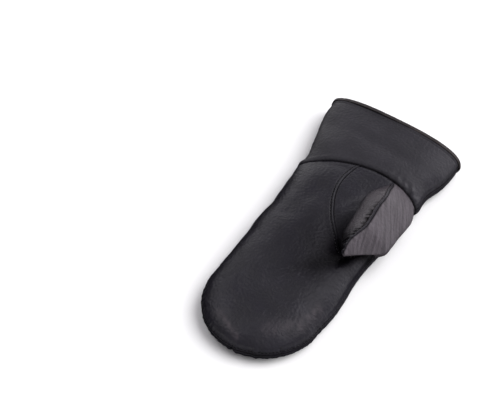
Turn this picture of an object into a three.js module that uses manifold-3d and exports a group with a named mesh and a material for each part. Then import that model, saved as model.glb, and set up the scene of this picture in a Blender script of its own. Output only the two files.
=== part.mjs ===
// A left-hand leather mitten in sheepskin, leather side out and wool side in, lying palm up, cuff unfolded.
// The hand is a palm panel and two back panels sewn round the edge, with a thumb set into the palm by a
// gusset. A flared cuff of two halves is sewn on at the wrist, and its mouth is bound with a narrow strip.
// Frame: +Y from the fingertips to the mouth, +X to the thumb side, +Z up, origin under the middle of it,
// on the surface that it lies on.
// Lengths are in millimetres.

import * as THREE from "three";
import { mergeVertices } from "three/addons/utils/BufferGeometryUtils.js";
import Module from "manifold-3d";

const wasm = await Module();
wasm.setup();

// Driving dimensions
const hand_length = 210; // fingertip to the wrist seam, at the side edges
const cuff_length = 79; // wrist seam to mouth
const palm_width = 115; // across the fingers
const cuff_width = 138; // across the mouth
const palm_height = 39; // crown of the palm above the surface it lies on
const seam_height = 13; // seam round the edge, above the same surface
const tip_length = 55; // rounded end of the fingers
const underside_roll_width = 14; // width over which the back turns up from flat to the edge seam
const leather_thickness = 1.8; // wall
const pile_depth = 8; // depth of the wool
const seam_gap = 0.4; // between two panels sewn together
const fit_gap = 0.3; // between a piece and the one that it lies on
const wrist_bow = 14; // how far the wrist seam bows to the cuff at mid palm
const wrist_slant = 9; // how much nearer the mouth it is at the thumb side than at the middle
const wrist_waist = 2.5; // how far the seam draws the wrist in
const wrist_waist_width = 9;
const thumb_length = 89; // wrist seam to thumb tip
const thumb_width = 50; // where it is widest, its root's left side to the outer face
const thumb_rise = 19; // top of the thumb above the palm
const thumb_overhang = 9; // thumb past the edge of the hand
const thumb_lift = 2; // air under the free end of the thumb
const thumb_flank = 12; // height over which the thumb's outer panel draws in to the edge seam
const thumb_root_share = 0.35; // where along its length, from the tip, the thumb joins the side of the hand
const gusset_width = 26; // gusset seam to the thumb's root, at its widest
const gusset_length = 80; // wrist seam to the low end of the gusset
const binding_width = 4;
const binding_thickness = 1;
const lock_length = 8; // tufts of wool round the mouth
const lock_radius = 3.4;
const lock_inset = 2; // mouth edge of the wool to its first row of tufts
const fold_depth = 2.2; // of a dent or fold of full depth
const pucker_depth = 0.5; // gathers of the edge seam round the fingertips

// Shape constants
const palm_puff = 2.6; // superellipse power of the palm's section: 2 is an ellipse, more is flatter on top
const thumb_puff = 1.85;
const thumb_belly = 0.35; // height at which the thumb is widest, as a share of its own height
const lock_rows = 2;
const lock_spacing = 9;
const puckers = 11;
const pucker_steps = 3;
const side_steps = 17;

// Sections of the hand. along is a share of hand_length; little and thumb are shares of half of palm_width,
// on the little-finger side and the thumb side; crown is a share of palm_height.
const hand_sections = [
  { along: 0.26, little: 1.0, thumb: 0.965, crown: 0.86 },
  { along: 0.37, little: 0.995, thumb: 1.0, crown: 0.94 },
  { along: 0.46, little: 0.985, thumb: 0.99, crown: 0.98 },
  { along: 0.55, little: 0.98, thumb: 0.955, crown: 1.0 },
  { along: 0.63, little: 0.99, thumb: 0.94, crown: 1.0 },
  { along: 0.72, little: 0.975, thumb: 0.96, crown: 1.0 },
  { along: 0.8, little: 0.99, thumb: 0.985, crown: 1.0 },
  { along: 0.89, little: 1.015, thumb: 1.0, crown: 0.99 },
  { along: 0.97, little: 1.035, thumb: 1.02, crown: 0.97 },
];

// Sections of the cuff. along is a share of cuff_length; little and thumb are shares of half of cuff_width.
const cuff_sections = [
  { along: 0.03, little: 0.845, thumb: 0.83, crown: 0.96 },
  { along: 0.095, little: 0.845, thumb: 0.85, crown: 0.975 },
  { along: 0.16, little: 0.855, thumb: 0.865, crown: 0.985 },
  { along: 0.285, little: 0.895, thumb: 0.855, crown: 0.99 },
  { along: 0.39, little: 0.93, thumb: 0.865, crown: 0.98 },
  { along: 0.5, little: 0.965, thumb: 0.905, crown: 0.975 },
  { along: 0.62, little: 1.0, thumb: 0.94, crown: 0.97 },
  { along: 0.8, little: 1.035, thumb: 0.96, crown: 0.95 },
  { along: 1.0, little: 1.05, thumb: 0.95, crown: 0.94 },
];

// Sections of the thumb, from its tip (along 0) to the wrist seam (along 1). right is a share of
// thumb_overhang past the edge of the hand, width a share of thumb_width, seam the place of its long seam
// as a share of its own width, top a share of thumb_rise, and open is 1 where the thumb is open to the palm
// below it and 0 where it is closed underneath.
const thumb_sections = [
  { along: 0.0, right: -1.0, width: 0.15, seam: 0.5, top: 0.55, open: -0.14 },
  { along: 0.06, right: -0.45, width: 0.3, seam: 0.38, top: 0.7, open: -0.06 },
  { along: 0.146, right: 0.2, width: 0.5, seam: 0.39, top: 0.82, open: 0.0 },
  { along: 0.236, right: 0.82, width: 0.69, seam: 0.465, top: 0.92, open: 0.0 },
  { along: 0.292, right: 1.17, width: 0.81, seam: 0.505, top: 0.97, open: 0.2 },
  { along: 0.348, right: 1.22, width: 0.88, seam: 0.545, top: 1.0, open: 0.55 },
  { along: 0.416, right: 1.08, width: 0.91, seam: 0.565, top: 1.02, open: 1.0 },
  { along: 0.55, right: 1.02, width: 0.955, seam: 0.55, top: 0.97, open: 1.0 },
  { along: 0.685, right: 1.05, width: 1.0, seam: 0.53, top: 0.87, open: 1.0 },
  { along: 0.82, right: 1.0, width: 1.02, seam: 0.51, top: 0.71, open: 1.0 },
  { along: 0.93, right: 0.76, width: 0.96, seam: 0.47, top: 0.48, open: 1.0 },
  { along: 1.05, right: 0.25, width: 0.77, seam: 0.39, top: 0.1, open: 1.0 },
  { along: 1.15, right: -0.1, width: 0.63, seam: 0.23, top: -0.25, open: 1.0 },
];

// The gusset seam on the palm. across is a share of gusset_width left of the thumb's root at its widest,
// and along a share of gusset_length from the low end up to the wrist seam.
const gusset_seam = [
  { across: -1.08, along: 0.1 },
  { across: -0.9, along: 0.02 },
  { across: -0.7, along: 0.0 },
  { across: -0.5, along: 0.03 },
  { across: -0.06, along: 0.17 },
  { across: 0.38, along: 0.335 },
  { across: 0.65, along: 0.48 },
  { across: 0.84, along: 0.61 },
  { across: 0.96, along: 0.76 },
  { across: 0.99, along: 0.9 },
  { across: 0.93, along: 1.07 },
  { across: 0.8, along: 1.2 },
];

// Dents and folds of the upper side. across is a share of half of palm_width from the middle, along a share
// of hand_length, turn the angle of the fold from straight across, in degrees, long and wide half its
// length and width as shares of palm_width, and deep a share of fold_depth.
const folds = [
  { across: 0.5, along: 0.6, turn: 0, long: 0.17, wide: 0.15, deep: 1.2 },
  { across: 0.21, along: 0.7, turn: 127, long: 0.2, wide: 0.1, deep: 0.7 },
  { across: 0.37, along: 0.51, turn: 76, long: 0.24, wide: 0.12, deep: 0.8 },
  { across: 0.74, along: 0.63, turn: 36, long: 0.13, wide: 0.1, deep: 0.5 },
  { across: 0.02, along: 0.5, turn: 24, long: 0.3, wide: 0.09, deep: 0.4 },
  { across: -0.42, along: 0.8, turn: 70, long: 0.22, wide: 0.07, deep: 0.25 },
  { across: -0.66, along: 0.66, turn: 15, long: 0.16, wide: 0.05, deep: 0.3 },
  { across: 0.1, along: 0.25, turn: -8, long: 0.34, wide: 0.11, deep: 0.25 },
  { across: -0.1, along: 1.21, turn: -4, long: 0.48, wide: 0.06, deep: 0.4 },
  { across: 0.3, along: 0.87, turn: 62, long: 0.2, wide: 0.05, deep: 0.6 },
];

const body_sections = [
  ...hand_sections.map((row) => ({
    y: row.along * hand_length,
    little: (row.little * palm_width) / 2,
    thumb: (row.thumb * palm_width) / 2,
    crown: row.crown * palm_height,
  })),
  ...cuff_sections.map((row) => ({
    y: hand_length + row.along * cuff_length,
    little: (row.little * cuff_width) / 2,
    thumb: (row.thumb * cuff_width) / 2,
    crown: row.crown * palm_height,
  })),
];
const mouth = hand_length + cuff_length;
const leather_end = mouth - binding_thickness - fit_gap;

// A smooth value of one column of a table, at a place along another column.
function smooth(rows, key, column, at) {
  const last = rows.length - 1;
  let i = rows.findIndex((row) => row[key] > at) - 1;
  if (i < -1) i = last - 1;
  i = Math.max(0, Math.min(last - 1, i));
  const [a, b] = [rows[i], rows[i + 1]];
  const slope = (k) => {
    const [p, q] = [rows[Math.max(0, k - 1)], rows[Math.min(last, k + 1)]];
    return (q[column] - p[column]) / (q[key] - p[key]);
  };
  const span = b[key] - a[key];
  const u = THREE.MathUtils.clamp((at - a[key]) / span, 0, 1);
  const [u2, u3] = [u * u, u * u * u];
  return (
    (2 * u3 - 3 * u2 + 1) * a[column] +
    (u3 - 2 * u2 + u) * span * slope(i) +
    (3 * u2 - 2 * u3) * b[column] +
    (u3 - u2) * span * slope(i + 1)
  );
}

const body = (column, y) => smooth(body_sections, "y", column, y);
const edge_middle = (y) => (body("thumb", y) - body("little", y)) / 2;

// The wrist seam's place along the mitten, at a place across it.
function wrist_seam(x) {
  const share = THREE.MathUtils.clamp((2 * x) / palm_width, -1, 1);
  return hand_length + wrist_bow * (1 - share * share) + wrist_slant * share;
}

// How far the surface of the palm is drawn down, at a place on it.
function drawn_in(x, y) {
  const from_wrist = (y - wrist_seam(x)) / wrist_waist_width;
  let depth = wrist_waist * Math.exp(-from_wrist * from_wrist);
  for (const fold of folds) {
    const turn = THREE.MathUtils.degToRad(fold.turn);
    const [dx, dy] = [x - (fold.across * palm_width) / 2, y - fold.along * hand_length];
    const along = (dx * Math.cos(turn) + dy * Math.sin(turn)) / (fold.long * palm_width);
    const across = (dy * Math.cos(turn) - dx * Math.sin(turn)) / (fold.wide * palm_width);
    depth += fold_depth * fold.deep * Math.exp(-along * along - across * across);
  }
  return depth;
}

// How far the underside is lifted at the mouth, to leave room for the strip that binds it.
function heel(y) {
  const share = THREE.MathUtils.smoothstep(y, mouth - 5 * binding_width, mouth - 1.5 * binding_width);
  return share * (binding_thickness + fit_gap);
}

// The stations round the edge, down the thumb side, round the fingertips and up the little-finger side.
// Each has its point on the edge seam and the point of the middle line that it faces.
function stations(end, steps, tip_steps, gathers = 0) {
  const side = (y, sign) => {
    const middle = new THREE.Vector2(edge_middle(y), y);
    const reach = (body("thumb", y) + body("little", y)) / 2;
    return { y, middle, edge: new THREE.Vector2(middle.x + sign * reach, y) };
  };
  const tip_middle = side(tip_length, 1).middle;
  const tip_reach = (body("thumb", tip_length) + body("little", tip_length)) / 2;
  const ys = Array.from({ length: steps + 1 }, (_, i) => end + ((tip_length - end) * i) / steps);
  const tip = Array.from({ length: tip_steps - 1 }, (_, i) => {
    const turn = (Math.PI * (i + 1)) / tip_steps;
    const edge = new THREE.Vector2(
      tip_middle.x + tip_reach * Math.cos(turn),
      tip_length * (1 - Math.sin(turn)),
    );
    const pucker = gathers * Math.sin(turn) * Math.cos((2 * Math.PI * puckers * (i + 1)) / tip_steps);
    return { y: tip_length, middle: tip_middle, edge, pucker };
  });
  return [...ys.map((y) => side(y, 1)), ...tip, ...ys.reverse().map((y) => side(y, -1))];
}

// A point of the upper surface, from the edge seam (rise 0) to the middle line (rise 1), at a depth under
// the leather's face.
function upper_point(station, rise, depth, lift = 0) {
  const outward = station.edge.clone().sub(station.middle);
  const reach = outward.length();
  outward.normalize();
  const turn = (Math.PI / 2) * rise;
  const across = Math.cos(turn) ** (2 / palm_puff);
  const up = Math.sin(turn) ** (2 / palm_puff);
  const gather = (station.pucker ?? 0) * Math.max(0, 1 - up * up * 2);
  const height = body("crown", station.y) - seam_height;
  const flat = station.middle.clone().addScaledVector(outward, reach * across);
  const slope = new THREE.Vector2(across ** (palm_puff - 1) / reach, up ** (palm_puff - 1) / height);
  slope.normalize();
  const plan = flat.clone().addScaledVector(outward, gather - depth * slope.x);
  const z = seam_height + lift + height * up - depth * slope.y - drawn_in(flat.x, flat.y) * up * up;
  return new THREE.Vector3(plan.x, plan.y, z);
}

// A point of the underside, from the edge seam (fall 0) over the roll (fall 1) to the middle line (fall 2).
function under_point(station, fall, depth, lift = 0) {
  const outward = station.edge.clone().sub(station.middle);
  const reach = outward.length();
  outward.normalize();
  const turn = (Math.PI / 2) * Math.min(1, fall);
  const roll = underside_roll_width * (1 - Math.cos(turn));
  const inward = fall <= 1 ? roll : THREE.MathUtils.lerp(underside_roll_width, reach, fall - 1);
  const low = heel(station.edge.y);
  const drop = seam_height - lift - low;
  const gather = (station.pucker ?? 0) * Math.cos(turn);
  const slope = new THREE.Vector2(Math.cos(turn) / underside_roll_width, -Math.sin(turn) / drop).normalize();
  const plan = station.middle.clone().addScaledVector(outward, reach - inward + gather - depth * slope.x);
  return new THREE.Vector3(plan.x, plan.y, low + drop * (1 - Math.sin(turn)) - depth * slope.y);
}

// Closed meshes are gathered as loose triangles, merged, and handed to the boolean library.
class Faces {
  constructor() {
    this.corners = [];
  }
  triangle(a, b, c) {
    const apart = 1e-4;
    if (a.distanceTo(b) < apart || b.distanceTo(c) < apart || c.distanceTo(a) < apart) return;
    this.corners.push(...a.toArray(), ...b.toArray(), ...c.toArray());
  }
  quad(a, b, c, d) {
    this.triangle(a, b, c);
    this.triangle(a, c, d);
  }
  // A sheet of rows of points, each row as long as the next.
  sheet(rows, flip = false) {
    for (let i = 0; i + 1 < rows.length; i++)
      for (let j = 0; j + 1 < rows[i].length; j++) {
        const [a, b, c, d] = [rows[i][j], rows[i][j + 1], rows[i + 1][j + 1], rows[i + 1][j]];
        if (flip) this.quad(d, c, b, a);
        else this.quad(a, b, c, d);
      }
  }
  solid() {
    const loose = new THREE.BufferGeometry();
    loose.setAttribute("position", new THREE.Float32BufferAttribute(this.corners, 3));
    return solid_of(loose);
  }
}

function solid_of(geometry) {
  const bare = geometry.clone();
  bare.deleteAttribute("normal");
  bare.deleteAttribute("uv");
  const merged = mergeVertices(bare, 1e-4);
  const mesh = new wasm.Mesh({
    numProp: 3,
    vertProperties: merged.attributes.position.array,
    triVerts: new Uint32Array(merged.index.array),
  });
  return new wasm.Manifold(mesh);
}

function geometry_of(solid) {
  const mesh = solid.getMesh();
  const geometry = new THREE.BufferGeometry();
  geometry.setAttribute("position", new THREE.BufferAttribute(mesh.vertProperties, 3));
  geometry.setIndex(new THREE.BufferAttribute(mesh.triVerts, 1));
  const faceted = geometry.toNonIndexed();
  faceted.computeVertexNormals();
  return faceted;
}

const shares = (steps, top = 1) => Array.from({ length: steps + 1 }, (_, i) => (top * i) / steps);
const upper_rises = shares(8).map((share) => share ** 1.25);
const under_falls = [...shares(4), 1.5, 2];

// The rows of points of the upper or under surface at one depth.
const upper_rows = (places, depth, lift, rises = upper_rises) =>
  rises.map((rise) => places.map((place) => upper_point(place, rise, depth, lift)));
const under_rows = (places, depth, lift, falls = under_falls) =>
  falls.map((fall) => places.map((place) => under_point(place, fall, depth, lift)));
const first_and_last = (rows, which) => rows.map((row) => row.at(which));

// A leather wall of the hand and cuff: the upper half or the lower half, from the edge seam inwards.
function wall(rows_at, upper) {
  const places = stations(leather_end, side_steps, puckers * pucker_steps, pucker_depth);
  const outer = rows_at(places, 0, seam_gap / 2);
  const inner = rows_at(places, leather_thickness, seam_gap / 2);
  const faces = new Faces();
  faces.sheet(outer, upper);
  faces.sheet(inner, !upper);
  faces.sheet([outer[0], inner[0]], !upper);
  for (const end of [0, -1]) {
    const rim = [first_and_last(outer, end), first_and_last(inner, end)];
    faces.sheet(rim, upper === (end === 0));
  }
  return faces.solid();
}

// The whole hand and cuff as one solid at a depth under the leather's face, or grown where it is negative.
function body_solid(depth, end) {
  const places = stations(end, side_steps, puckers);
  const upper = upper_rows(places, depth, 0, upper_rises.filter((_, i) => i % 2 === 0));
  const under = under_rows(places, depth, 0, under_falls.filter((_, i) => i % 2 === 0));
  const faces = new Faces();
  faces.sheet(upper, true);
  faces.sheet(under, false);
  const loop = [...first_and_last(upper, 0).reverse(), ...first_and_last(under, 0).slice(1)];
  const other = [...first_and_last(upper, -1).reverse(), ...first_and_last(under, -1).slice(1)];
  faces.sheet([loop, other], false);
  return faces.solid();
}

// A vertical block with a plan outline.
function block(points, low = -palm_height, high = 4 * palm_height) {
  const shape = new THREE.Shape(points.map(([x, y]) => new THREE.Vector2(x, y)));
  const geometry = new THREE.ExtrudeGeometry(shape, { depth: high - low, bevelEnabled: false });
  return solid_of(geometry.translate(0, 0, low));
}

const far = 2 * Math.max(palm_width, cuff_width);
const beyond = 2 * mouth;

// Everything on the finger side (side -1) or the cuff side (side 1) of the wrist seam.
function beside_wrist(side) {
  const seam = shares(16).map((share) => {
    const x = palm_width * (share - 0.5) * 1.2;
    return [x, wrist_seam(x) + (side * seam_gap) / 2];
  });
  const edge_y = seam[0][1];
  const back = side < 0 ? -beyond : beyond;
  return block([[-far, edge_y], ...seam, [far, edge_y], [far, back], [-far, back]]);
}

const thumb_tip_y = hand_length - thumb_length;
const thumb = (column, share) => smooth(thumb_sections, "along", column, share);

// Left and right sides, long seam, floor and top of the thumb at a share of its length.
function thumb_frame(share, inset) {
  const y = thumb_tip_y + thumb_length * share;
  const right = body("thumb", y) + thumb_overhang * thumb("right", share);
  const width = thumb_width * thumb("width", share);
  const left = right - width;
  const seam = left + width * thumb("seam", share);
  const free_floor = palm_height + thumb_lift;
  const floor = THREE.MathUtils.lerp(free_floor, seam_height / 2, thumb("open", share));
  const top = palm_height + thumb_rise * thumb("top", share);
  return { y, seam, left: left + inset, right: right - inset, floor: floor + inset, top: top - inset };
}

// The thumb as one solid, inset from the leather's face.
function thumb_solid(inset) {
  const points = 22;
  const start = inset / thumb_length;
  const end = thumb_sections.at(-1).along;
  const closed = 0.236;
  const along = [...shares(5, closed), ...shares(12).map((s) => closed + (end - closed) * s).slice(1)];
  const rings = along.map((share) => {
    const { y, seam, left, right, floor, top } = thumb_frame(share, inset);
    const edge = body("thumb", y) - inset;
    const open = THREE.MathUtils.clamp(thumb("open", share), 0, 1);
    const belly = THREE.MathUtils.lerp(floor, top, thumb_belly);
    return shares(points).map((share_round) => {
      const turn = 2 * Math.PI * share_round;
      const power = 2 / thumb_puff;
      const [across, up] = [Math.cos(turn), Math.sin(turn)].map((v) => Math.sign(v) * Math.abs(v) ** power);
      const x = seam + Math.max(0.3, across > 0 ? right - seam : seam - left) * across;
      const z = belly + Math.max(0.3, up > 0 ? top - belly : belly - floor) * up;
      const drawn = edge + (x - edge) * THREE.MathUtils.smoothstep(z, seam_height, seam_height + thumb_flank);
      const side = x > edge ? THREE.MathUtils.lerp(x, drawn, open) : x;
      return new THREE.Vector3(side, y + (share < start ? inset : 0), z);
    });
  });
  rings.forEach((ring) => (ring[points] = ring[0]));
  const faces = new Faces();
  faces.sheet(rings, true);
  const cap = (ring, flip) => {
    const centre = ring.slice(1).reduce((sum, p) => sum.add(p), new THREE.Vector3()).divideScalar(points);
    for (let j = 0; j < points; j++)
      if (flip) faces.triangle(centre, ring[j + 1], ring[j]);
      else faces.triangle(centre, ring[j], ring[j + 1]);
  };
  cap(rings[0], false);
  cap(rings.at(-1), true);
  return faces.solid();
}

// Everything left (side -1) or right (side 1) of the thumb's long seam.
function beside_thumb_seam(side) {
  const places = shares(13, thumb_sections.at(-1).along).map((share) => thumb_frame(share, 0));
  const seam = places.map((place) => [place.seam + (side * seam_gap) / 2, place.y]);
  const [first, last] = [seam[0], seam.at(-1)];
  return block([
    [first[0], -beyond],
    ...seam,
    [last[0], beyond],
    [side * far, beyond],
    [side * far, -beyond],
  ]);
}

// The left side of the thumb where it is widest, and the line under the thumb where the gusset ends.
const root = thumb_frame(0.685, 0).left;
const gusset_end = thumb_frame(thumb_root_share, 0).seam + seam_gap;

// The patch of the palm that the gusset fills, widened by a margin.
function gusset_patch(margin) {
  const curve = new THREE.CatmullRomCurve3(
    gusset_seam.map(({ across, along }) => {
      const y = hand_length - gusset_length * (1 - along);
      return new THREE.Vector3(root - gusset_width * across, y, 0);
    }),
  );
  const seam = shares(20).map((share) => {
    const [point, way] = [curve.getPoint(share), curve.getTangent(share)];
    return [point.x - margin * way.y, point.y + margin * way.x];
  });
  return block([...seam, [gusset_end, seam.at(-1)[1]], [gusset_end, seam[0][1]]]);
}

// The side of the hand that the thumb's outer panel covers, from its root to the wrist, widened by a margin.
function thumb_bed(margin) {
  const left = thumb_frame(thumb_sections.at(-1).along, 0).seam - seam_gap;
  const y = thumb_frame(thumb_root_share, 0).y - margin;
  return block([[left, y], [far, y], [far, beyond], [left, beyond]]);
}

// The narrow strip round the mouth: a leg on the leather's face and a lip over its cut edge.
function binding() {
  const [start, lip] = [mouth - binding_width, mouth - binding_thickness];
  const [face, outside] = [-fit_gap, -fit_gap - binding_thickness];
  const profile = [
    [start, outside],
    [mouth, outside],
    [mouth, leather_thickness],
    [lip, leather_thickness],
    [lip, face],
    [start, face],
  ];
  const ring = ([y, depth]) => {
    const places = stations(y, 1, 2);
    const [right, left] = [places[0], places.at(-1)];
    return [
      ...upper_rises.map((r) => upper_point(right, r, depth)),
      ...upper_rises.toReversed().slice(1).map((r) => upper_point(left, r, depth)),
      ...under_falls.slice(1).map((f) => under_point(left, f, depth)),
      ...under_falls.toReversed().slice(1).map((f) => under_point(right, f, depth)),
    ];
  };
  const rings = profile.map(ring);
  const faces = new Faces();
  faces.sheet([...rings, rings[0]], true);
  return faces.solid();
}

// One tuft of wool: a five-sided cone leaning from its root to its tip.
function lock(root, tip) {
  const direction = tip.clone().sub(root);
  const geometry = new THREE.ConeGeometry(lock_radius, direction.length(), 5, 1);
  geometry.translate(0, direction.length() / 2, 0);
  const up = new THREE.Vector3(0, 1, 0);
  geometry.applyQuaternion(new THREE.Quaternion().setFromUnitVectors(up, direction.normalize()));
  geometry.translate(root.x, root.y, root.z);
  return solid_of(geometry);
}

// The wool: a pocket under the leather, with rows of tufts round the mouth.
function wool_lining() {
  const end = leather_end - fit_gap;
  const outside = leather_thickness + fit_gap + pucker_depth;
  const inside = outside + pile_depth;
  const hollow = body_solid(inside, mouth + pile_depth);
  let wool = body_solid(outside, end).subtract(hollow);
  for (let row = 0; row < lock_rows; row++) {
    const y = end - lock_inset - row * lock_radius * 1.8;
    const places = stations(y, 1, 2);
    for (const place of [places[0], places.at(-1)]) {
      const width = place.edge.distanceTo(place.middle);
      const count = Math.round(width / lock_spacing);
      for (let i = 0; i < count; i++) {
        const share = (i + 0.5 + 0.5 * (row % 2)) / count;
        const rise = (2 / Math.PI) * Math.acos(Math.min(1, 1 - share) ** (palm_puff / 2));
        const rolled = (share * width) / underside_roll_width;
        const fall = rolled < 1 ? rolled : 1 + share;
        for (const [point, at] of [[upper_point, rise], [under_point, Math.min(2, fall)]]) {
          const root = point(place, at, inside - 1.5);
          const tip = point(place, at, inside + lock_length * 0.45);
          tip.y = Math.min(end - 0.3, root.y + lock_length * 0.5);
          wool = wool.add(lock(root, tip));
        }
      }
    }
  }
  const clear_of_leather = body_solid(outside, end);
  return wool.intersect(clear_of_leather);
}

const everywhere = [[-far, -beyond], [far, -beyond], [far, beyond], [-far, beyond]];
const above_edge_seam = block(everywhere, seam_height + seam_gap / 2);
const above_middle = block(everywhere, palm_height / 2);
const upper_wall = wall(upper_rows, true);
const under_wall = wall(under_rows, false);
const [finger_side, cuff_side] = [beside_wrist(-1), beside_wrist(1)];
const thumb_hollow = thumb_solid(leather_thickness);
const thumb_face = thumb_solid(0);
const thumb_skin = thumb_face.subtract(thumb_hollow).intersect(finger_side);
const [left_of_thumb_seam, right_of_thumb_seam] = [beside_thumb_seam(-1), beside_thumb_seam(1)];

const palm = upper_wall
  .intersect(finger_side)
  .subtract(gusset_patch(seam_gap).subtract(right_of_thumb_seam))
  .subtract(thumb_bed(seam_gap))
  .subtract(thumb_solid(-fit_gap));
const gusset = upper_wall
  .intersect(finger_side)
  .intersect(gusset_patch(0))
  .intersect(left_of_thumb_seam)
  .subtract(thumb_hollow);
const thumb_inner = thumb_skin
  .intersect(left_of_thumb_seam)
  .subtract(body_solid(leather_thickness / 2, mouth))
  .add(gusset);
const thumb_outer = thumb_skin
  .subtract(body_solid(leather_thickness / 2, mouth))
  .add(upper_wall.intersect(finger_side).intersect(thumb_bed(0)).subtract(thumb_hollow))
  .intersect(right_of_thumb_seam)
  .intersect(above_edge_seam);

const back_middle = (side) => {
  const x = edge_middle(hand_length) + (side * seam_gap) / 2;
  return block([[x, -beyond], [x, beyond], [side * far, beyond], [side * far, -beyond]]);
};

const skin = new THREE.MeshStandardMaterial({ color: 0x2c2b2f, roughness: 0.5, metalness: 0 });
const strip = new THREE.MeshStandardMaterial({ color: 0x232125, roughness: 0.55, metalness: 0 });
const wool = new THREE.MeshStandardMaterial({ color: 0x111114, roughness: 0.95, metalness: 0 });

const pieces = {
  palm_panel: [palm, skin],
  thumb_inner_panel: [thumb_inner, skin],
  thumb_outer_panel: [thumb_outer, skin],
  back_panel_thumb_side: [under_wall.intersect(finger_side).intersect(back_middle(1)), skin],
  back_panel_little_side: [under_wall.intersect(finger_side).intersect(back_middle(-1)), skin],
  cuff_palm_half: [upper_wall.intersect(cuff_side), skin],
  cuff_back_half: [under_wall.intersect(cuff_side), skin],
  mouth_binding: [binding(), strip],
  wool_lining: [wool_lining().subtract(thumb_hollow.intersect(above_middle)), wool],
};

const mitten = new THREE.Group();
for (const [name, [solid, material]] of Object.entries(pieces)) {
  const mesh = new THREE.Mesh(geometry_of(solid), material);
  mesh.name = name;
  mitten.add(mesh);
}
const bounds = new THREE.Box3().setFromObject(mitten);
const middle = bounds.getCenter(new THREE.Vector3());
mitten.position.set(-middle.x, -middle.y, -bounds.min.z);

export default mitten;
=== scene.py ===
"""A left-hand leather mitten with wool inside, lying palm up on a pale floor in soft light."""

import math

import bpy
import numpy as np
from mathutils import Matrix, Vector
from mathutils.kdtree import KDTree


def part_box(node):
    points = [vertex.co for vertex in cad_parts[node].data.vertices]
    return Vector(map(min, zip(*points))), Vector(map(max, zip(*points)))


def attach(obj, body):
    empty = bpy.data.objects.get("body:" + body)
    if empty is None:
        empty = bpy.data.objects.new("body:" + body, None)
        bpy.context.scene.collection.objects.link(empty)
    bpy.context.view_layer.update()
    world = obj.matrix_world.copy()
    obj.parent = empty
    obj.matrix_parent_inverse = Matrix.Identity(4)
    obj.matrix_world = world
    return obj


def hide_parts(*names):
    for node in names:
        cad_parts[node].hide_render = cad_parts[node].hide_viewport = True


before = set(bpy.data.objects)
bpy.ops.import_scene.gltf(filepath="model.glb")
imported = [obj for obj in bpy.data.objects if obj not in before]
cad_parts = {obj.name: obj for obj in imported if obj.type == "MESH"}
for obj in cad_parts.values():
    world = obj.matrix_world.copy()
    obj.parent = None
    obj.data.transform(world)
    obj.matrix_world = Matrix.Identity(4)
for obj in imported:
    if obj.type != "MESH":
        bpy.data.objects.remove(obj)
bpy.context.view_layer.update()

# Sizes in millimetres, and tables of shares of them, as in the part's source
HAND_LENGTH = 210.0
CUFF_LENGTH = 79.0
PALM_WIDTH = 115.0
CUFF_WIDTH = 138.0
PALM_HEIGHT = 39.0
SEAM_HEIGHT = 13.0
TIP_LENGTH = 55.0
UNDERSIDE_ROLL = 14.0
LEATHER = 1.8
PILE = 8.0
SEAM_GAP = 0.4
FIT_GAP = 0.3
WRIST_BOW = 14.0
WRIST_SLANT = 9.0
WRIST_WAIST = 2.5
WRIST_WAIST_WIDTH = 9.0
THUMB_LENGTH = 89.0
THUMB_WIDTH = 50.0
THUMB_OVERHANG = 9.0
THUMB_FLANK = 12.0
THUMB_ROOT_SHARE = 0.35
GUSSET_ROOT_SHARE = 0.685
GUSSET_WIDTH = 26.0
GUSSET_LENGTH = 80.0
BINDING_WIDTH = 4.0
BINDING_THICKNESS = 1.0
FOLD_DEPTH = 2.2
PUCKER_DEPTH = 0.5
PUCKERS = 11
PALM_PUFF = 2.6
MOUTH = HAND_LENGTH + CUFF_LENGTH


def table(names, rows):
    """Rows of numbers as one array for each named column."""
    return {name: np.array(column) for name, column in zip(names.split(), zip(*rows))}


HAND_SECTIONS = table(
    "along little thumb crown",
    [
        (0.26, 1.0, 0.965, 0.86),
        (0.37, 0.995, 1.0, 0.94),
        (0.46, 0.985, 0.99, 0.98),
        (0.55, 0.98, 0.955, 1.0),
        (0.63, 0.99, 0.94, 1.0),
        (0.72, 0.975, 0.96, 1.0),
        (0.8, 0.99, 0.985, 1.0),
        (0.89, 1.015, 1.0, 0.99),
        (0.97, 1.035, 1.02, 0.97),
    ],
)
CUFF_SECTIONS = table(
    "along little thumb crown",
    [
        (0.03, 0.845, 0.83, 0.96),
        (0.095, 0.845, 0.85, 0.975),
        (0.16, 0.855, 0.865, 0.985),
        (0.285, 0.895, 0.855, 0.99),
        (0.39, 0.93, 0.865, 0.98),
        (0.5, 0.965, 0.905, 0.975),
        (0.62, 1.0, 0.94, 0.97),
        (0.8, 1.035, 0.96, 0.95),
        (1.0, 1.05, 0.95, 0.94),
    ],
)
THUMB_SECTIONS = table(
    "along right width seam",
    [
        (0.0, -1.0, 0.15, 0.5),
        (0.06, -0.45, 0.3, 0.38),
        (0.146, 0.2, 0.5, 0.39),
        (0.236, 0.82, 0.69, 0.465),
        (0.292, 1.17, 0.81, 0.505),
        (0.348, 1.22, 0.88, 0.545),
        (0.416, 1.08, 0.91, 0.565),
        (0.55, 1.02, 0.955, 0.55),
        (0.685, 1.05, 1.0, 0.53),
        (0.82, 1.0, 1.02, 0.51),
        (0.93, 0.76, 0.96, 0.47),
        (1.05, 0.25, 0.77, 0.39),
        (1.15, -0.1, 0.63, 0.23),
    ],
)
GUSSET_SEAM = table(
    "across along",
    [
        (-1.08, 0.1),
        (-0.9, 0.02),
        (-0.7, 0.0),
        (-0.5, 0.03),
        (-0.06, 0.17),
        (0.38, 0.335),
        (0.65, 0.48),
        (0.84, 0.61),
        (0.96, 0.76),
        (0.99, 0.9),
        (0.93, 1.07),
        (0.8, 1.2),
    ],
)
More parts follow.
